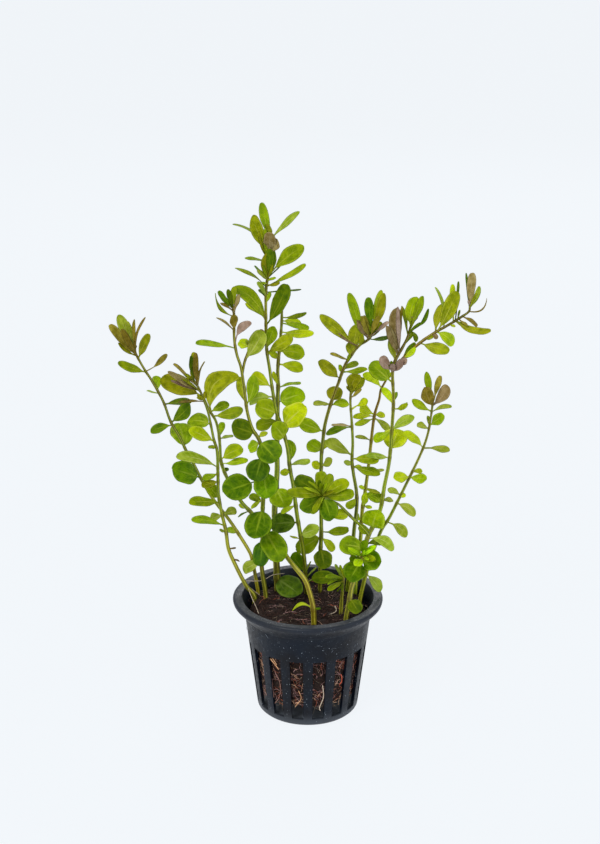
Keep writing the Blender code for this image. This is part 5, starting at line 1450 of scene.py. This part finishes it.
def build_lint():
    """Short pale hairs that cling to the pot's wall above its slots."""
    chance = random.Random(23)
    form = Form()
    for _ in range(LINT_HAIRS):
        height = chance.uniform(*LINT_HEIGHTS)
        out = outward(chance.uniform(0.0, 2 * math.pi))
        start = out * (wall_radius(height) + LINT_RADIUS) + UP * height
        heading = chance.uniform(0.0, math.pi)
        way = sideways(out) * math.cos(heading) + UP * math.sin(heading)
        straw(form, chance, start, way, out, 0, chance.uniform(*LINT_LENGTH), LINT_RADIUS)
    form.piece("wall_lint", [coir_look("lint", (78, 86, 96), (126, 134, 144))], "black_plastic", ["net_pot"])


def build_stem(stem):
    """A round stem that starts in the plug or on the stem that it forks from."""
    points = [place(*stop) for stop in stem.route]
    last = len(points) - 1
    low, high = (radius * slim for radius, slim in zip(stem.radius, SLIMMING))
    radii = [low + (high - low) * number / last for number in range(last + 1)]
    if stem.fork:
        foot = stem_point(*stem.fork)
    else:
        foot = Vector((points[0].x, points[0].y, PLUG_TOP - PLANTING_DEPTH + GAP))
    points = [foot, *points, points[-1] + (points[-1] - points[-2]).normalized() * BUD_LENGTH]
    radii = [radii[0], *radii, BUD_RADIUS]
    feet = [stem_point(stem, leaf.x0, leaf.z0) for leaf in stem.leaves if leaf.tint != "bark"]
    way = smooth_way(points, STEM_STEP)
    thick = []
    joints = []
    for point, spot in way:
        before = min(int(spot), len(radii) - 2)
        plain = radii[before] + (radii[before + 1] - radii[before]) * (spot - before)
        gap = min((foot - point).length for foot in feet)
        joint = math.exp(-((gap / NODE_LENGTH) ** 2))
        joints += [joint] * STEM_SIDES
        thick.append(plain * (1 + NODE_SWELL * joint))
    form = Form()
    form.skin(tube_rings([point for point, _ in way], thick, STEM_SIDES), 0.0, 0)
    form.shades = joints
    form.piece(stem.name + "_stem", [stem_look(stem)], "stem_green", ["stem_" + stem.name])


def young_leaves(stem, chance):
    """The folded leaflets round a stem's growing tip."""
    (xa, za, _), (xb, zb, _) = stem.route[-2:]
    heading = math.atan2(zb - za, xb - xa)
    tint = stem.leaves[0].tint
    leaflets = []
    for _ in range(YOUNG_COUNT):
        angle = heading + chance.uniform(-YOUNG_SPREAD, YOUNG_SPREAD)
        length = chance.uniform(*YOUNG_LENGTH)
        x1 = xb + length * math.cos(angle)
        z1 = zb + length * math.sin(angle)
        wide = length * chance.uniform(*YOUNG_WIDTH)
        away = chance.uniform(*YOUNG_AWAY)
        leaflets.append(Leaf(xb, zb, x1, z1, wide, away, YOUNG_TURN, 0, tint, YOUNG_STALK))
    return leaflets


def add_leaf(form, stem, leaf, chance, look):
    rings = Blade(stem, leaf, chance).rings()
    form.skin(rings, chance.random(), look, min(EDGE_WIDTH * 2 / leaf.seen, MOST_EDGE))


def build_plants():
    """Each stem, its lesser leaves as one piece, and its broad leaves one by one."""
    looks = {tint: leaf_look(tint) for tint in LEAF_TINTS}
    chance = random.Random(5)
    young_chance = random.Random(8)
    for stem in STEMS:
        build_stem(stem)
        used = sorted({leaf.tint for leaf in stem.leaves + stem.crown})
        lesser = Form()
        broad_count = 0
        for leaf in stem.leaves:
            if leaf.seen < OWN_PIECE_WIDTH:
                add_leaf(lesser, stem, leaf, chance, used.index(leaf.tint))
                continue
            broad_count += 1
            broad = Form()
            add_leaf(broad, stem, leaf, chance, 0)
            name = f"{stem.name}_broad_leaf_{broad_count}"
            broad.piece(name, [looks[leaf.tint]], "leaf_green", [f"leaf_{stem.name}_{broad_count}"])
        for leaf in (*young_leaves(stem, young_chance), *stem.crown):
            add_leaf(lesser, stem, leaf, young_chance, used.index(leaf.tint))
        lesser_looks = [looks[tint] for tint in used]
        lesser.piece(stem.name + "_leaves", lesser_looks, "leaf_green", ["stem_" + stem.name])


def build_floor():
    """A pale ground that glows a little, so that it stays even behind the plant."""
    bpy.ops.mesh.primitive_plane_add(size=GROUND_SIZE)
    ground = bpy.context.object
    ground.name = "floor"
    look = Look("floor_pale")
    look.give({"Base Color": (52, 54, 56), "Roughness": 0.9, "Specular IOR Level": 0.0})
    look.give({"Emission Color": PALE, "Emission Strength": GROUND_GLOW})
    ground.data.materials.append(look.material)


def build_studio():
    """A soft pale room, soft lamps that look at the plant, and the camera."""
    world = bpy.data.worlds.new("soft_room")
    world.use_nodes = True
    world.node_tree.nodes["Background"].inputs[0].default_value = colour(PALE)
    world.node_tree.nodes["Background"].inputs[1].default_value = ROOM_LIGHT
    bpy.context.scene.world = world
    for name, spot, size, power, tone in LAMPS:
        lamp = bpy.data.lights.new(name, "AREA")
        lamp.size = size
        lamp.energy = power
        lamp.color = tone
        holder = shown_object(name, lamp)
        holder.location = spot
        holder.rotation_euler = (LAMP_TARGET - Vector(spot)).to_track_quat("-Z", "Y").to_euler()
    camera = bpy.data.cameras.new("camera")
    camera.lens = EYE_LENS
    camera.sensor_width = EYE_SENSOR
    camera.clip_start = 0.01
    camera.clip_end = 50.0
    holder = shown_object("camera", camera)
    holder.location = EYE * MM
    holder.rotation_euler = (math.radians(90 - EYE_PITCH), 0.0, 0.0)
    bpy.context.scene.camera = holder
    bpy.context.scene.view_settings.view_transform = "Standard"


build_pot()
build_plug()
build_straws()
build_roots()
build_lint()
build_plants()
build_floor()
build_studio()
